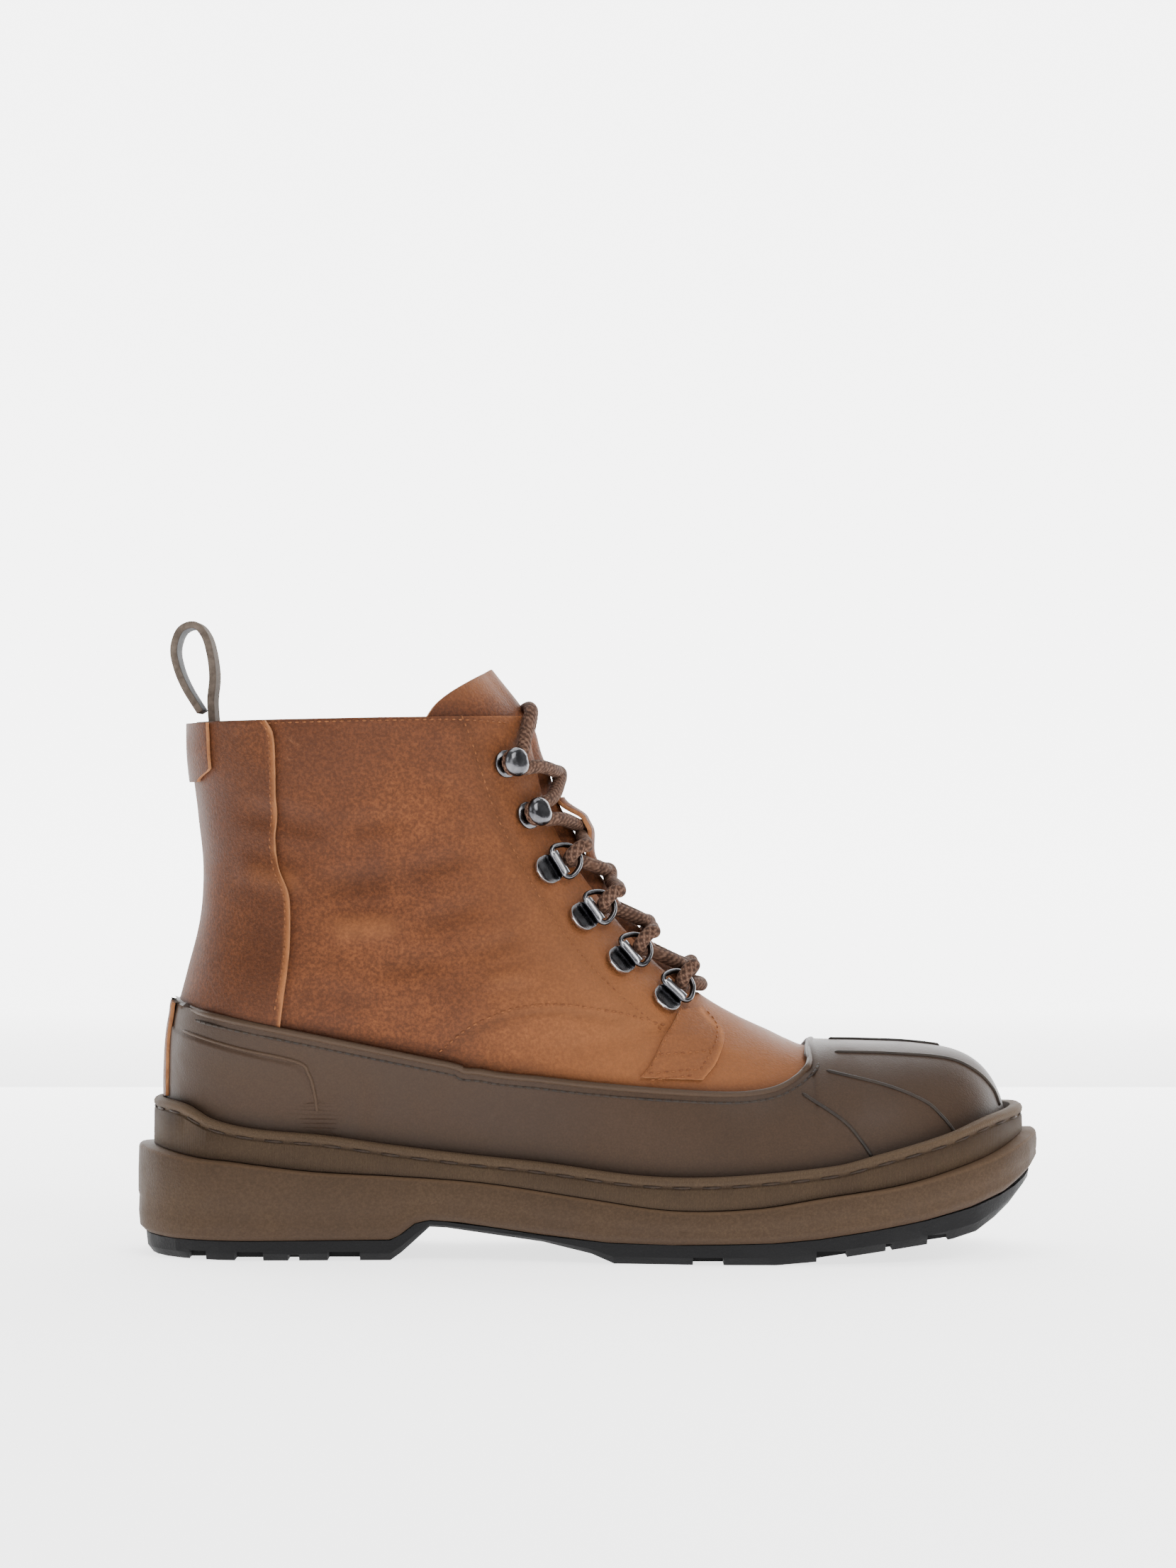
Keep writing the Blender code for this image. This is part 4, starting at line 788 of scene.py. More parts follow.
facingStitch = [(-42.1, 181.3), (-38.8, 172.6), (-32.4, 153.3), (-30.3, 147.4), (-22, 131.1),
                (-18, 123.6), (-7.2, 107.3), (9.1, 89.2), (26.3, 74.8)]
quarterSeam = [(-48.4, 67.3), (-39, 75.3), (-31, 79.3), (-22.4, 82.1), (-9, 83), (9, 80.2),
               (26.1, 75.3)]
panelStitch = [(-108.4, 179.4), (-105.3, 173.5), (-104.8, 152.8), (-104.8, 134.9), (-100.6, 122.2),
               (-99.9, 112.4), (-100.6, 98.9), (-103.4, 83.5)]
collarStitch = [(-128.1, 176.8), (-106.7, 178.2), (-59.9, 179.3), (-42.2, 179.4), (-26.9, 178.4)]
toeRidges = [
    [(82.7, 68.1), (102.6, 67.4), (121, 65.5), (130.7, 61.2), (136.7, 55.2), (139.3, 49.1)],
    [(79.4, 62.5), (98.9, 57.8), (112, 52.4), (118.1, 47), (121.9, 42.3)],
    [(70.8, 55.6), (84.1, 46.9), (90, 40.4), (93.7, 35)],
]
counterEdge = [(-136, 75.4), (-117.7, 70.7), (-96.8, 66), (-92.6, 61.6), (-90.8, 55), (-90, 49)]

# Upper: one wall from the collar to the feather, open at the throat

upperLook = {
    # creases: from x, z to x, z in mm, half width in mm, depth in mm (a ridge is negative)
    "creases": [
        (-118, 150, -84, 143, 6.5, 1.5), (-84, 143, -58, 147, 6.0, 1.1),
        (-119, 131, -92, 124, 7.0, -1.2), (-92, 124, -62, 128, 7.0, 1.5),
        (-62, 128, -38, 135, 5.5, 1.1), (-90, 110, -58, 111, 7.5, -1.3),
        (-58, 111, -33, 119, 6.0, 1.2), (-74, 97, -44, 100, 6.5, 1.3),
        (-44, 100, -20, 108, 5.0, 0.9), (-52, 162, -40, 148, 5.0, 0.8),
        (-96, 92, -70, 84, 7.0, 0.9), (-36, 92, -16, 96, 5.0, -0.9),
        (-8, 91, 8, 78, 4.5, 0.7), (24, 72, 52, 62, 5.0, 1.0), (36, 73, 58, 66, 4.0, -0.7),
    ],
    "soft": 0.9, "wave": 0.5, "step": 0.55 * mm,
    # lines that sink into the leather: line, half width in mm, depth in mm
    "sunk": ((facingStitch, 1.6, 0.28), (quarterSeam, 1.4, 0.22)),
    # lines that the leather darkens at: line, reach in mm, strength
    "dark": ((facingStitch, 5, 0.45), (quarterSeam, 4, 0.5), (rimInMm, 6, 0.75)),
}


def creaseAt(spot):
    # Soft troughs and ridges, the same on both sides with a small shift on the inner one
    x, z = spot.x / mm, spot.z / mm
    if spot.y > 0:
        x, z = x + 4, z - 3
    depth = 0.0
    for ax, az, bx, bz, half, deep in upperLook["creases"]:
        dx, dz = bx - ax, bz - az
        share = ((x - ax) * dx + (z - az) * dz) / (dx * dx + dz * dz)
        near = min(1.0, max(0.0, share))
        off = sqrt((x - ax - dx * near) ** 2 + (z - az - dz * near) ** 2)
        fade = ease(0, 0.3, min(1, max(0, share))) * ease(0, 0.3, 1 - min(1, max(0, share)))
        depth -= deep * fade * max(0.0, 1 - (off / half) ** 2) ** 2
    wave = noise.noise(Vector((x * 0.035, spot.y / mm * 0.05, z * 0.05)))
    return (depth + wave * upperLook["wave"]) * mm * upperLook["soft"]


def upperLift(row, turn, spot):
    side = ease(0.02, 0.16, abs(turn) - throatTurn(row)) if row < throatRow else 1.0
    low = (1 - 0.7 * ease(8, 9.5, row)) * (1 - 0.6 * ease(0.86, 0.97, abs(turn)))
    calm = side * ease(0, 0.4, row) * low
    lift = creaseAt(spot) * calm if row < 14 else 0.0
    if row < 12 and spot.y < 0 and abs(turn) > 0.03:
        # the quarter ends in a cut edge over the vamp, at the curved seam
        away, above = lineDistance(quarterSeam, spot.x / mm, spot.z / mm)
        inSpan = ease(-50, -46, spot.x / mm) * (1 - ease(24, 28, spot.x / mm))
        step = ease(0, 0.9, away) if above > 0 else 0
        lift += upperLook["step"] * inSpan * step * (1 - ease(6, 22, away))
    for line, half, deep in upperLook["sunk"]:
        if row < 12:
            away = lineDistance(line, spot.x / mm, spot.z / mm)[0]
            lift -= deep * mm * max(0.0, 1 - (away / half) ** 2)
    return lift


linedLeather = ["leather", "leather lining", "leather edge"]
edgedLeather = ["leather", "leather edge", "leather edge"]
upperRows = span(0, 8, fine(124)) + span(8.05, toeRow, fine(46))
upperPiece = addSheet("upper_leather", "upper", linedLeather, upperRows, throatTurn,
                      lambda row: 1.0, fine(60), upperLift, boot["wall"], 0.3 * mm)


def shadeLine(points, x, z, reach, strength=1.0):
    away = lineDistance(points, x, z)[0]
    return strength * max(0.0, 1 - (away / reach)) ** 1.5


def upperShade(spot):
    x, z = spot.x / mm, spot.z / mm
    dark = 0.0
    for points, reach, strength in upperLook["dark"]:
        dark = max(dark, shadeLine(points, x, z, reach, strength))
    trough = max(0.0, -creaseAt(spot) / mm)
    return max(dark, min(0.4, trough * 0.2), 0.22 * ease(-60, -130, x))


# painted light: lighter towards the front, where the light falls; also lighter on crease ridges and along
# the collar's top edge
def upperLitAndWorn(spot):
    x, z = spot.x / mm, spot.z / mm
    ridge = max(0.0, creaseAt(spot) / mm - 0.35)
    topEdge = 0.5 * ease(180.2, 182.0, z)
    front = 0.40 * ease(-55, 25, x) * ease(50, 62, z)
    return min(0.6, ridge * 0.35) * 0.6 + topEdge + front


addMasks(upperPiece.data, upperShade, upperLitAndWorn)
print("upper ready")

# Shell: rubber lower with a raised rim, ridges over the toe and a counter edge

shellOut = boot["shellLift"] + boot["shell"]
shellLook = {"bead": 1.15 * mm, "grooveAt": 3.5 * mm, "ridge": 0.6 * mm,
             "step": 0.55 * mm}
shellRows = span(rimSeamRow, 8, fine(80)) + span(8.05, 13, fine(60)) + span(13.08, toeRow, fine(60))


def counterStep(spot):
    # The heel counter stands a little proud of the side
    away, above = lineDistance(counterEdge, spot.x / mm, spot.z / mm)
    return shellLook["step"] * ease(0, 1.3, away) if above < 0 and spot.x < -88 * mm else 0.0


shellPiece = addSheet("shell_rubber_lower", "shell", ["shell rubber", "shell rubber", "welt rubber"],
                      shellRows, rimTurn, lambda row: 1.0, fine(120),
                      lambda row, turn, spot: shellOut + counterStep(spot), boot["shell"])
addMasks(shellPiece.data, lambda spot: 0.45 * (1 - ease(0, 6, (spot.z - weltTop(spot.x)) / mm)))


def wrapTube(build, points, radius, sides, way, closed=False, relief=None, values=None, squeeze=None):
    # A grid wrapped round a line; relief(arc, angle) gives a corner's extra share of the radius
    count = len(points)
    frames, arc = [], 0.0
    for n, spot in enumerate(points):
        if closed:
            along = points[(n + 1) % count] - points[n - 1]
        else:
            along = points[min(count - 1, n + 1)] - points[max(0, n - 1)]
        along.normalize()
        way = (way - along * way.dot(along)).normalized()
        frames.append((spot, way, along.cross(way), arc))
        arc += (points[(n + 1) % count] - spot).length
    made = bmesh.ops.create_grid(build, x_segments=sides, y_segments=count if closed else count - 1,
                                 size=1)["verts"]
    for vert in made:
        n = round((1 - vert.co.y) / 2 * (count if closed else count - 1)) % count
        angle = (vert.co.x + 1) * pi
        spot, first, second, arc = frames[n]
        mark = relief(arc, angle) if relief else 0.0
        here = radius * (1 + mark) * (squeeze(spot) if squeeze else 1)
        if values is not None:
            vert[values] = mark
        if not closed and n in (0, count - 1):
            here *= 0.15
        vert.co = spot + (first * cos(angle) + second * sin(angle)) * here
    return made


def smoothLine(points, steps, closed=False):
    # Catmull-Rom through the points
    result, count = [], len(points)
    for n in range(count if closed else count - 1):
        a, b, c, d = [points[(n + k) % count] if closed else points[min(count - 1, max(0, n + k))]
                      for k in (-1, 0, 1, 2)]
        for m in range(steps):
            t = m / steps
            result.append((b * 2 + (c - a) * t + (a * 2 - b * 5 + c * 4 - d) * t * t
                           + (b * 3 - a - c * 3 + d) * t ** 3) * 0.5)
    return result if closed else result + [points[-1]]


def weld(build, fill=False):
    bmesh.ops.remove_doubles(build, verts=build.verts, dist=1e-6)
    if fill:
        bmesh.ops.holes_fill(build, edges=build.edges)
    bmesh.ops.recalc_face_normals(build, faces=build.faces)


def onShell(points):
    # Rows and turns whose places on the shell's outside show at these points of the side view
    result = []
    numbered = [(n, x * mm, z * mm) for n, (x, z) in enumerate(points)]
    for at in span(0, len(points) - 1, len(points) * 4 - 1):
        aim = Vector((onCurve(numbered, at, 1), onCurve(numbered, at, 2)))
        guess = aim.copy()
        for _ in range(6):
            row, turn = locate(guess.x, guess.y)
            spot = lifted(row, -turn, shellOut)
            guess += (aim - Vector((spot.x, spot.z))) * 0.8
        result.append((row, turn))
    return result


def addCord(build, rows, lift):
    # A round ridge along rows and turns of the shell's outside
    wrapTube(build, smoothLine([lifted(row, turn, shellOut + lift) for row, turn in rows], 3),
             shellLook["ridge"], 10, Vector((0, 0, 1)))


# The rim as a loop of places on the shell, with the ways out and down from it
rimRows = [mix(rimSeamRow, 13, n / 40) for n in range(41)]
rimSpots = [(row, -rimTurn(row)) for row in rimRows] + [(row, rimTurn(row)) for row in rimRows[-2:0:-1]]
rimLoop = smoothLine([lifted(row, turn, shellOut) for row, turn in rimSpots], 6, True)
rimOut = smoothLine([formNormal(row, turn) for row, turn in rimSpots], 6, True)
rimDown = []
for n, spot in enumerate(rimLoop):
    along = rimLoop[(n + 1) % len(rimLoop)] - rimLoop[n - 1]
    rimDown.append(rimOut[n].cross(along).normalized())
if rimDown[0].z > 0:
    rimDown = [-way for way in rimDown]
build = bmesh.new()
wrapTube(build, [spot + down * 0.5 * mm - out * 0.45 * mm
                 for spot, out, down in zip(rimLoop, rimOut, rimDown)],
         shellLook["bead"], 12, rimOut[0], closed=True)
for side in (-1, 1):
    addCord(build, [(row, side * turn) for row, turn in onShell(counterEdge)], -0.05 * mm)
weld(build, True)
rimPiece = addPiece("shell_rim", build, ["shell rubber"], None, 60)
addMasks(rimPiece.data, None, lambda spot: 0.15)

# dark tubes: painted shade of the groove under the rim, and painted shadow lines along the toe's ridges,
# which stand a little proud
build = bmesh.new()
wrapTube(build, [spot + down * shellLook["grooveAt"] - out * 0.32 * mm
                 for spot, out, down in zip(rimLoop, rimOut, rimDown)],
         0.5 * mm, 8, rimOut[0], closed=True)
for line in toeRidges:
    for side in (-1, 1):
        addCord(build, [(row, side * turn) for row, turn in onShell(line)], 0.1 * mm)
addCord(build, [(locate(x * mm, 70 * mm)[0], 0.0) for x in span(81.4, 118, 16)], 0.15 * mm)
weld(build, True)
addPiece("toe_ridges_and_groove_shade", build, ["painted groove shade"], None, 60)
print("shell ready")


# Sole: closed profiles swept round the outline

def sweepRing(profile, stations, name, paintNames, nodes, detail=None, closed=True):
    # profile(x) gives (inset, height) pairs; detail(arc, n, x) moves a corner outwards
    build = bmesh.new()
    arcLayer = build.verts.layers.float.new("arc")
    path = []
    for side in (-1, 1):
        for n in range(stations):
            path.append((n / stations if side < 0 else 1 - n / stations, side))
    arc, arcs, before = 0.0, [], None
    for station, side in path:
        spot = outline(station, side)
        arc += (spot - before).length if before else 0.0
        arcs.append(arc)
        before = spot
    count = len(profile(0.0))
    verts = bmesh.ops.create_grid(build, x_segments=count, y_segments=len(path), size=1)["verts"]
    for vert in verts:
        n = round((vert.co.x + 1) / 2 * count) % count
        at = round((vert.co.y + 1) / 2 * len(path)) % len(path)
        station, side = path[at]
        x = edge(station, side).x
        inset, height = profile(x)[n]
        spot = outline(station, side, inset)
        vert.co = Vector((spot.x, spot.y + shiftY, height))
        if detail:
            vert.co += outward(station, side) * detail(arcs[at], n, spot.x)
        vert[arcLayer] = arcs[at]
    weld(build)
    return addPiece(name, build, paintNames, nodes, 50)


def weltProfile(x):
    low, high = ledgeTop(x) + 0.3 * mm, weltTop(x)
    back = ledge(x)
    face = [(back + 5 * mm, low), (back + 0.8 * mm, low), (back + 0.8 * mm, low + 0.9 * mm),
            (back + 0.9 * mm, high - 4.2 * mm), (back + 1.6 * mm, high - 3.6 * mm),
            (back + 1.5 * mm, high - 3.1 * mm), (back + 0.9 * mm, high - 2.5 * mm),
            (back + 0.75 * mm, high - 1.5 * mm), (back + 1.2 * mm, high - 0.6 * mm),
            (back + 2.2 * mm, high - 0.05 * mm), (back + 3.6 * mm, high),
            (back + 5 * mm, high - 0.5 * mm)]
    return face


def midsoleProfile(x):
    low, top, back = midsoleBottom(x), ledgeTop(x), ledge(x)
    return [(2.2 * mm, low), (0.6 * mm, low + 1.6 * mm), (0.1 * mm, mix(low, top, 0.22)),
            (0.35 * mm, mix(low, top, 0.40)), (0.0, mix(low, top, 0.44)),
            (0.0, mix(low, top, 0.70)), (0.2 * mm, top - 1.2 * mm), (0.45 * mm, top - 0.5 * mm),
            (1.0 * mm, top), (back + 3 * mm, top), (back + 5.3 * mm, top),
            (back + 5.3 * mm, feather(x) - 0.3 * mm), (22 * mm, feather(x) - 0.3 * mm),
            (22 * mm, low)]


def midsoleGrain(arc, n, x):
    if 1 <= n <= 7:
        return 0.12 * mm * noise.noise(Vector((arc / (5 * mm), n * 3.1, 0.0)))
    return 0.0


weltPiece = sweepRing(weltProfile, 300, "welt_band", ["welt rubber"], ["welt"])
midsolePiece = sweepRing(midsoleProfile, 260, "midsole_wall", ["midsole rubber"], ["midsole"],
                         midsoleGrain)


def weltShade(spot):
    height = (spot.z - ledgeTop(spot.x)) / mm
    top = (weltTop(spot.x) - spot.z) / mm
    dark = 0.7 * (1 - ease(0, 2, height))
    return max(dark, 0.75 * max(0.0, 1 - abs(top - 3.4) / 0.9))


# lighter on the welt's top
def weltTopLighter(spot):
    top = (weltTop(spot.x) - spot.z) / mm
    return 0.55 * (1 - ease(0.1, 1.8, top))


# lighter on the ledge's top face and its edge
def ledgeTopLighter(spot):
    return 0.4 * (1 - ease(0.1, 1.2, (ledgeTop(spot.x) - spot.z) / mm))


addMasks(weltPiece.data, weltShade, weltTopLighter)
addMasks(midsolePiece.data, lambda spot: 0.5 * (1 - ease(0, 3, (spot.z - midsoleBottom(spot.x)) / mm)),
         ledgeTopLighter)
print("sole ready")


def bareCopy(node, name, label, bevel, sharp=35):
    # A merged copy of a CAD node whose edges are rounded
    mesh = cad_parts[node].data.copy()
    build = bmesh.new()
    build.from_mesh(mesh)
    bmesh.ops.remove_doubles(build, verts=build.verts, dist=1e-6)
    bmesh.ops.dissolve_limit(build, angle_limit=radians(3), verts=build.verts, edges=build.edges)
    mesh.materials.clear()
    piece = addPiece(name, build, [label], [node], sharp)
    roundEdges(piece, bevel, 35)


bareCopy("outsole", "outsole_lugs", "outsole rubber", 0.5 * mm)
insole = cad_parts["insole"].data
insole.materials.clear()
insole.materials.append(paints["insole board"])
print("outsole and insole ready")


# Overlays of the shaft

def freeSheet(columns, rows, at, lift):
    # One grid whose corners take their row and turn from at(u, v)
    build = bmesh.new()
    verts = bmesh.ops.create_grid(build, x_segments=columns, y_segments=rows, size=1)["verts"]
    for vert in verts:
        row, turn = at((vert.co.x + 1) / 2, (1 - vert.co.y) / 2)
        vert.co = lifted(row, turn, lift(row, turn))
    row, turn = at(0.5, 0.5)
    build.faces.ensure_lookup_table()
    middle = min(build.faces, key=lambda face: (face.calc_center_median() - lifted(row, turn, 0)).length)
    if middle.normal.dot(formNormal(row, turn)) < 0:
        bmesh.ops.reverse_faces(build, faces=build.faces)
    build.normal_update()
    return build


# The back panel's front edge: x in shares of the length, z of the collar
overlayTop = boot["overlayLift"] + boot["overlay"]
panelEdge = [(-0.351, 0.993), (-0.341, 0.957), (-0.339, 0.844), (-0.339, 0.745), (-0.325, 0.675),
             (-0.323, 0.620), (-0.325, 0.546), (-0.334, 0.433)]
panelEdgeMm = [(x * boot["length"] / mm, z * boot["collar"] / mm) for x, z in panelEdge]
panelTrace = sorted(sideLine(panelEdgeMm, 4))


def panelStart(row):
    return onLine(panelTrace, row)


def panelEnd(row):
    return max(panelStart(row) + 0.003, min(1.0, rimTurn(row) - 0.012))


lastRow = rimSeamRow
while rimTurn(lastRow) - 0.012 > panelStart(lastRow):
    lastRow += 0.01
panelRows = span(0.02, rimSeamRow - 0.04, 60) + span(rimSeamRow - 0.02, lastRow, 24)
panelPiece = addSheet("back_panel_leather", "back_panel", linedLeather, panelRows,
                      panelStart, panelEnd, 26,
                      lambda row, turn, spot: overlayTop + upperLift(row, turn, spot),
                      boot["overlay"], 0.2 * mm)
addMasks(panelPiece.data,
         lambda spot: max(shadeLine(panelStitch, spot.x / mm, spot.z / mm, 3, 0.4),
                          shadeLine(rimInMm, spot.x / mm, spot.z / mm, 6, 0.7), 0.34),
         lambda spot: 0.8 * shadeLine(panelEdgeMm, spot.x / mm, spot.z / mm, 1.6) + upperLitAndWorn(spot) * 0.6)

pullTab = {"width": 40 * mm, "height": 22 * mm}
tabLast = seamRow(boot["collar"] - pullTab["height"])


def tabStart(row):
    share = (row - 0.03) / (tabLast - 0.03)
    return turnFromBack(row, pullTab["width"] / 2 * (1 - 0.35 * ease(0.8, 1.0, share)))


tabTop = overlayTop + boot["gap"] + boot["overlay"]
tabPiece = addSheet("pull_tab_leather", "pull_tab", edgedLeather,
                    span(0.03, tabLast, 26), tabStart, lambda row: 1.0, 16,
                    lambda row, turn, spot: tabTop + upperLift(row, turn, spot),
                    boot["overlay"], 0.2 * mm)
addMasks(tabPiece.data, lambda spot: 0.3, upperLitAndWorn)

# The quarter's wing: rear x, rear z, front x, front z, in shares of the length and the collar
wing = [(0.098, 0.452, 0.124, 0.457), (0.092, 0.432, 0.133, 0.438), (0.082, 0.405, 0.146, 0.418),
        (0.073, 0.375, 0.147, 0.395), (0.064, 0.350, 0.139, 0.360), (0.056, 0.336, 0.124, 0.330)]
wingTop, wingThick = 1.5 * mm, 1.2 * mm
wingRows = [(n, *row) for n, row in enumerate(wing)]
wingEdge = [(onCurve(wingRows, n / 20 * 5, 3) * boot["length"] / mm,
             onCurve(wingRows, n / 20 * 5, 4) * boot["collar"] / mm) for n in range(21)]
for side, label in ((-1, "outer"), (1, "inner")):
    def wingAt(u, v):
        ends = [onCurve(wingRows, v * 5, column) for column in range(1, 5)]
        row, turn = locate(mix(ends[0], ends[2], u) * boot["length"],
                           mix(ends[1], ends[3], u) * boot["collar"])
        return row, side * turn

    def wingHigh(row, turn):
        return wingTop + upperLift(row, turn, formPoint(row, turn))

    build = freeSheet(22, 30, wingAt, wingHigh)
    wingPiece = addPiece("quarter_wing_leather_" + label, build,
                         linedLeather, ["quarter_wing_" + label])
    solid(wingPiece, wingThick, 1, 2, 0.2 * mm)
    addMasks(wingPiece.data, None,
             lambda spot: 0.28 + 0.5 * shadeLine(wingEdge, spot.x / mm, spot.z / mm, 1.4))

stripHalf = 8.5 * mm
stripRows = span(rimSeamRow + 0.04, seamRow(weltTop(-0.15) + 0.3 * mm), 40)


def stripLift(row, turn, spot):
    return shellOut + boot["gap"] + boot["overlay"] + 0.4 * mm * (1 - ease(0.1, 0.3, row - rimSeamRow))


stripPiece = addSheet("heel_strip_leather", "heel_strip", edgedLeather, stripRows,
                      lambda row: turnFromBack(row, stripHalf), lambda row: 1.0, 10, stripLift,
                      boot["overlay"], 0.25 * mm)
addMasks(stripPiece.data)
print("overlays ready")

# Tongue and the strap across it

tongueLook = {"crown": [(-1, -0.5), (0, -0.5), (1, 0.0), (2, 0.75), (3, 1.0), (5, 0.85), (7, 0.0)],
              "bulge": 2.4 * mm, "thick": 3 * mm, "endRow": 7.5, "startRow": 0.9}


def tongueHigh(row, turn):
    hidden = -boot["wall"] - 2 * boot["gap"]
    opening = throatTurn(row)
    if opening < 0.02:
        return hidden
    crown = mix(hidden, onCurve(tongueLook["crown"], row) * tongueLook["bulge"],
                ease(0.02, 0.06, opening))
    return mix(crown, hidden, ease(0.25, 0.9, abs(turn) / opening))


def tongueAt(u, v):
    across = 2 * u - 1
    start, end = tongueLook["startRow"], tongueLook["endRow"]
    row = mix(start, end, max(0.0, (v - 0.16) / 0.84))
    if v < 0.16:
        row = mix(-1 + 0.8 * across ** 2 + 0.26 * across ** 12, start, v / 0.16)
    reach = mix(throatTurn(max(row, start)), 1.0, 0.3)
    return row, across * reach


def tongueLift(row, turn):
    fold = 0.35 * mm * sin(row * 5.2 + 0.8) * ease(0.2, 1.2, row) * (1 - ease(0.05, 0.12, abs(turn)))
    return tongueHigh(row, turn) + fold * 0.6


tonguePiece = addPiece("tongue_leather", freeSheet(48, 90, tongueAt, tongueLift),
                       linedLeather, ["tongue"])
solid(tonguePiece, tongueLook["thick"], 1, 2, 0.4 * mm)
addMasks(tonguePiece.data, lambda spot: 0.25 * (1 - ease(60, 150, spot.z / mm)),
         lambda spot: 0.3 * ease(182, 196, spot.z / mm))

keeper = {"rows": (1.85, 3.25), "turn": 0.05, "thick": 1.5 * mm}


def keeperHigh(row, turn):
    share = (row - keeper["rows"][0]) / (keeper["rows"][1] - keeper["rows"][0])
    rise = ease(0, 0.42, share) * ease(0, 0.42, 1 - share)
    top = onCurve(tongueLook["crown"], row) * tongueLook["bulge"] + 5.4 * mm
    return mix(tongueHigh(row, turn) + 0.9 * mm, top, rise) + keeper["thick"]


keeperPiece = addPiece("lace_keeper_leather",
                       freeSheet(12, 60, lambda u, v: (mix(*keeper["rows"], v),
                                                       mix(-keeper["turn"], keeper["turn"], u)),
                                 keeperHigh),
                       edgedLeather, ["lace_keeper"])
solid(keeperPiece, keeper["thick"], 1, 2, 0.2 * mm)
addMasks(keeperPiece.data)
print("tongue ready")


# Pull loop: one band of webbing, light outside and dark inside

pullLoop = {"height": 32 * mm, "width": 20 * mm, "thick": 2.4 * mm,
            "path": [(0.06, 0.04), (-0.10, 0.30), (-0.19, 0.52), (-0.22, 0.72), (-0.15, 0.91),
                     (0, 0.96), (0.11, 0.84), (0.17, 0.62), (0.19, 0.40), (0.17, 0.16),
                     (0.14, -0.10), (0.14, -0.45)]}
beside = formPoint(0.0, turnFromBack(0.0, pullLoop["width"] / 2))
insideX = beside.x + boot["wall"] + 3 * boot["gap"] + pullLoop["thick"] / 2
loopPath = [(n, formPoint(0.0, 1.0).x + x * pullLoop["height"], boot["collar"] + z * pullLoop["height"])
            for n, (x, z) in enumerate(pullLoop["path"])]
for n in (-2, -1):
    loopPath[n] = (loopPath[n][0], insideX, loopPath[n][2])
build = bmesh.new()
for vert in bmesh.ops.create_grid(build, x_segments=20, y_segments=110, size=1)["verts"]:
    at = (1 - vert.co.y) / 2 * (len(loopPath) - 1)
    across = vert.co.x
    rib = 0.12 * mm * sin(across * 10 * pi) * (1 - abs(across) ** 6)
    here = Vector((onCurve(loopPath, at, 1), 0, onCurve(loopPath, at, 2)))
    ahead = Vector((onCurve(loopPath, at + 0.05, 1), 0, onCurve(loopPath, at + 0.05, 2)))
    behind = Vector((onCurve(loopPath, at - 0.05, 1), 0, onCurve(loopPath, at - 0.05, 2)))
    along = (ahead - behind).normalized()
    out = Vector((-along.z, 0, along.x))
    vert.co = here + out * (pullLoop["thick"] / 2 + rib) + Vector((0, across * pullLoop["width"] / 2, 0))
bmesh.ops.recalc_face_normals(build, faces=build.faces)
build.normal_update()
top = max(build.faces, key=lambda face: face.calc_center_median().z)
if top.normal.z < 0:
    bmesh.ops.reverse_faces(build, faces=build.faces)
loopPiece = addPiece("pull_loop_webbing", build, ["loop webbing", "loop lining", "loop webbing"],
                     ["pull_loop"])
solid(loopPiece, pullLoop["thick"], 1, 2, 0.4 * mm)
addMasks(loopPiece.data)


# Eyelets and hooks

def placeFrame(x, z, side):
    row, turn = locate(x * boot["length"], z * boot["collar"])
    spot = formPoint(row, side * turn)
    out = formNormal(row, side * turn)
    along = formPoint(row - 0.1, side * turn) - formPoint(row + 0.1, side * turn)
    up = (along - out * along.dot(out)).normalized()
    forward = up.cross(out) * -side
    return spot, forward, up, out


ring = {"wire": 0.9 * mm, "reach": 9 * mm, "half": 5.8 * mm, "tilt": 15, "leg": 3.0 * mm,
        "places": [(-0.0385, 0.7185), (-0.0005, 0.6310), (0.0400, 0.5510), (0.0885, 0.4810)]}
plate = {"length": 8.5 * mm, "width": 8.4 * mm, "thick": 1 * mm, "middle": 3.0 * mm, "curl": 1.7 * mm}
hook = {"places": [(-0.092, 0.909), (-0.068, 0.813)], "lace": 4.65 * mm,
        # radius and height above the leather in mm
        "profile": [(0, 0.8), (4.4, 0.8), (4.6, 1.0), (4.6, 1.7), (4.2, 2.0), (2.0, 2.1), (1.2, 2.6),
                    (1.2, 6.4), (2.0, 6.9), (4.5, 6.7), (4.9, 6.9), (4.9, 7.4), (4.6, 8.2),
                    (3.9, 8.9), (2.9, 9.3), (1.6, 9.5), (0, 9.55)]}


def ringWays(given):
    spot, forward, up, out = given
    tilt = radians(ring["tilt"])
    return (spot + out * ring["leg"], forward * cos(tilt) + out * sin(tilt),
            out * cos(tilt) - forward * sin(tilt))


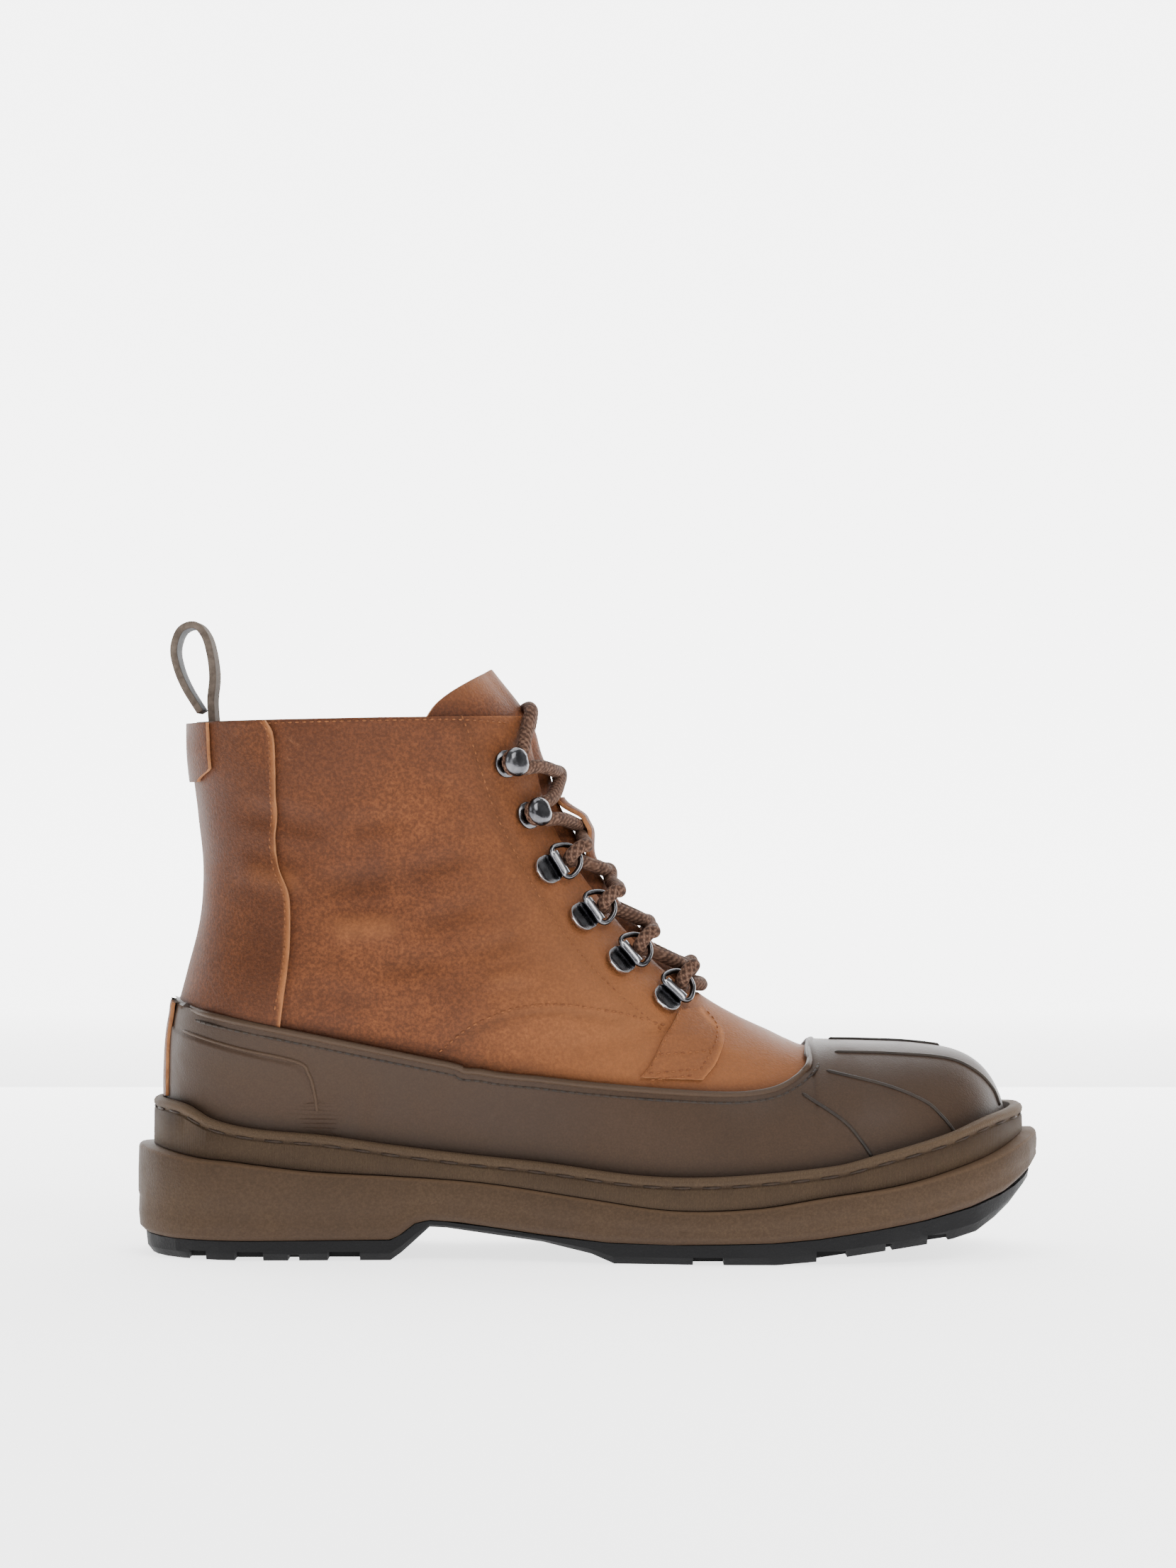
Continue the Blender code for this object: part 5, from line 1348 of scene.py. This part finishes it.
def addRing(number, given, label):
    leg, reach, over = ringWays(given)
    up = given[2]
    points = [leg - up * plate["width"] * 0.51, leg, leg + up * plate["width"] * 0.51]
    for angle in (84, 58, 32, 0, -32, -58, -84):
        a = radians(angle)
        points.append(leg + reach * mix(0.12, 1.0, cos(a)) * ring["reach"] + up * sin(a) * ring["half"])
    build = bmesh.new()
    wrapTube(build, smoothLine(points, 7, True), ring["wire"], 14, over, closed=True)
    weld(build)
    node = f"d_ring_{number}_{label}"
    addPiece(node + "_wire", build, ["gunmetal"], [node], 80)

    spot, forward, up, out = given
    path = [(f * mm, 1.3 * mm) for f in (-9.2, -9.1, -8.8, -8.3, -7.6, -6.8, -5.8, -4.8, -3.6, -2.4, -1.2)]
    path += [(cos(radians(a)) * plate["curl"], plate["middle"] + sin(radians(a)) * plate["curl"])
             for a in range(-90, 151, 12)]
    build = bmesh.new()
    plateHighlightLayer = build.verts.layers.float.new("worn")
    for vert in bmesh.ops.create_grid(build, x_segments=16, y_segments=len(path) - 1, size=1)["verts"]:
        f, n = path[round((1 - vert.co.y) / 2 * (len(path) - 1))]
        end = min(1.0, max(0.0, (-f / mm - 5.0) / 4.3))
        half = mix(plate["width"] / 2, 4.9 * mm, ease(0, 2.4, -f / mm)) * sqrt(max(0.02, 1 - end ** 2))
        # painted highlight along the plate's border and over its curl; the border also stands a little
        # proud
        border = max(ease(0.66, 0.9, abs(vert.co.x)), ease(0.6, 0.85, end)) * ease(0.6, 1.6, -f / mm)
        vert[plateHighlightLayer] = border if f < -mm else 0.35
        vert.co = spot + forward * f + out * (n + 0.35 * mm * border) + up * vert.co.x * half
    build.normal_update()
    node = f"eyelet_plate_{number}_{label}"
    piece = addPiece(node + "_bent", build, ["gunmetal"], [node], 50)
    wall = piece.modifiers.new("wall", "SOLIDIFY")
    wall.thickness, wall.offset = plate["thick"], 0
    roundEdges(piece, 0.25 * mm, 50)


def addHook(number, given, label):
    spot, forward, up, out = given
    build = bmesh.new()
    line = [build.verts.new(spot + forward * r * mm + out * h * mm) for r, h in hook["profile"]]
    edges = [build.edges.new(pair) for pair in zip(line, line[1:])]
    bmesh.ops.spin(build, geom=line + edges, cent=spot, axis=out, angle=2 * pi, steps=48, use_merge=True)
    bmesh.ops.remove_doubles(build, verts=build.verts, dist=1e-6)
    for vert in build.verts:          # the cap's side towards the throat is cut straight
        away = (vert.co - spot).dot(forward)
        if away > 3.4 * mm and (vert.co - spot).dot(out) > 7.2 * mm:
            vert.co -= forward * (away - 3.4 * mm)
    bmesh.ops.recalc_face_normals(build, faces=build.faces)
    node = f"speed_hook_{number}_{label}"
    addPiece(node + "_metal", build, ["gunmetal"], [node], 50)


# Lace: two strands that cross over the tongue, from the rings up round the hooks

lace = {"radius": 2.25 * mm, "step": 1.2 * mm, "crossings": (1.4, 2.6, 3.5, 4.6, 6.0, 6.9)}


def crossingLift(row):
    return onCurve(tongueLook["crown"], row) * tongueLook["bulge"] + 0.6 * mm + lace["radius"]


def ringTurn(given):
    leg, reach, over = ringWays(given)
    bow = leg + reach * ring["reach"]
    around = ring["wire"] + lace["radius"] + 0.75 * mm
    return [bow - reach * cos(radians(a)) * around + over * sin(radians(a)) * around
            + given[2] * lace["step"] * sin(radians(a)) for a in (135, 90, 45, 0, -45, -90)]


def hookTurn(given):
    spot, forward, up, out = given
    middle = spot + out * hook["lace"]
    squeezed.append(middle)
    return [middle + up * sin(radians(a)) * 2.9 * mm - forward * cos(radians(a)) * 2.7 * mm
            for a in (80, 40, 0, -40, -80)]


def overLeather(start, row, shares):
    return [lifted(mix(start[0], row, share), start[1] * (1 - share),
                   mix(lace["radius"] * 2, crossingLift(row), share)) for share in shares]


squeezed = []


def cordSqueeze(spot):
    # The cord is pressed flat under a hook's cap
    away = min((spot - middle).length for middle in squeezed)
    return mix(0.62, 1.0, ease(3.2 * mm, 6.5 * mm, away))


turns, starts = {}, {}
for number, (x, z) in enumerate(hook["places"] + ring["places"]):
    for side, label in ((-1, "outer"), (1, "inner")):
        given = placeFrame(x, z, side)
        row, turn = locate(x * boot["length"], z * boot["collar"])
        if number < 2:
            addHook(number + 1, given, label)
            turns[number, side] = hookTurn(given)
            starts[number, side] = (row, side * turn), (0.35, 0.7)
        else:
            addRing(number - 1, given, label)
            turns[number, side] = ringTurn(given)
            starts[number, side] = (row, side * turn), (0.72,)
print("hooks and rings ready")


def braid(arc, angle):
    # Two sets of strands that pass over each other round the cord
    first = sin(arc / (1.0 * mm) * pi + angle * 5)
    second = sin(arc / (1.0 * mm) * pi - angle * 5)
    return 0.034 * (max(first, second) - 0.35)


build = bmesh.new()
braidLayer = build.verts.layers.float.new("braid")
for first in (-1, 1):
    side = first
    points = []
    # the end rises over the throat's edge and tucks in behind the tongue
    for x, z, lift in ((-17.5, 180.5, -5.0), (-19.0, 183.6, -1.5), (-21.4, 181.6, 2.6),
                       (-23.4, 173.5, 3.2), (-25.4, 167.2, 4.4)):
        row, turn = locate(x * mm, z * mm)
        points.append(lifted(row, side * turn, lift * mm))
    for number in range(6):
        points += turns[number, side]
        start, shares = starts[number, side]
        row = lace["crossings"][number]
        points += overLeather(start, row, shares)
        if number < 5:
            high = 0.9 * mm if first > 0 else 0.0
            points.append(lifted(row, 0.0, crossingLift(row) + high))
            side = -side
            start, shares = starts[number + 1, side]
            points += overLeather(start, row, shares)[::-1]
    points.append(lifted(lace["crossings"][5], 0.0, crossingLift(lace["crossings"][5])))
    wrapTube(build, smoothLine(points, 16), lace["radius"], 22, Vector((0, 0, 1)),
             relief=braid, values=braidLayer, squeeze=cordSqueeze)
weld(build)
lacePiece = addPiece("lace_braid", build, ["lace cord"], ["lace"], 80)
marks = [item.value for item in lacePiece.data.attributes["braid"].data]
# painted shade in the braid's grooves and painted highlight on its raised strands
for label, low, high in (("shade", 0.0, -0.02), ("worn", 0.014, 0.023)):
    layer = lacePiece.data.attributes.new(label, "FLOAT", "POINT")
    layer.data.foreach_set("value", [0.8 * ease(*sorted((low, high)), mark) if label == "worn"
                                     else 0.8 * (1 - ease(high, low, mark)) for mark in marks])
print("lace ready")


# Stitches

def surfaceLine(points, side, extra, step=1.2):
    result = []
    for row, turn in sideLine(points, step):
        spot = formPoint(row, side * turn)
        normal = formNormal(row, side * turn)
        result.append((spot + normal * (upperLift(row, side * turn, spot) + extra), normal))
    return result


def shiftedLine(points, gap):
    # The same line moved sideways by gap mm in the side view
    result = []
    for n, (x, z) in enumerate(points):
        ax, az = points[max(0, n - 1)]
        bx, bz = points[min(len(points) - 1, n + 1)]
        long = sqrt((bx - ax) ** 2 + (bz - az) ** 2)
        result.append((x - (bz - az) / long * gap, z + (bx - ax) / long * gap))
    return result


build = bmesh.new()
for side in (-1, 1):
    stitchRow(build, surfaceLine(facingStitch, side, 0.0))
    stitchRow(build, surfaceLine(shiftedLine(quarterSeam, 2.0), side, 0.1 * mm))
    stitchRow(build, surfaceLine(collarStitch, side, 0.1 * mm))
    stitchRow(build, surfaceLine(panelStitch, side, overlayTop))
    for line in ([(22.9, 67.9), (41.0, 68.8)], [(19.5, 62.0), (37.5, 63.0)],
                 [(20.0, 59.8), (34.6, 61.0)],
                 [(38.9, 81.0), (42.1, 77.4), (42.6, 73.9), (41.4, 69.9), (39.5, 66.6), (36.7, 62.4)],
                 [(30.4, 82.5), (26.7, 74.8), (22.7, 67.8), (19.6, 62.5)]):
        stitchRow(build, surfaceLine(line, side, 1.55 * mm))
addPiece("stitches_leather", build, ["light thread"], None, 80)

build = bmesh.new()
for side in (-1, 1):
    line = []
    for n in range(181):
        station = n / 180
        x = edge(station, side).x
        spot = outline(station, side, ledge(x) + 1.35 * mm)
        line.append((Vector((spot.x, spot.y + shiftY, weltTop(x) - 3.3 * mm)), outward(station, side)))
    stitchRow(build, line, 7.2 * mm, 0.55 * mm, 9.8 * mm)
stitchRow(build, [(spot + down * shellLook["grooveAt"], out)
                  for spot, out, down in zip(rimLoop, rimOut, rimDown)], 1.9 * mm, 0.4 * mm, 2.9 * mm)
addPiece("stitches_rubber", build, ["dark thread"], None, 80)
print("stitches ready")
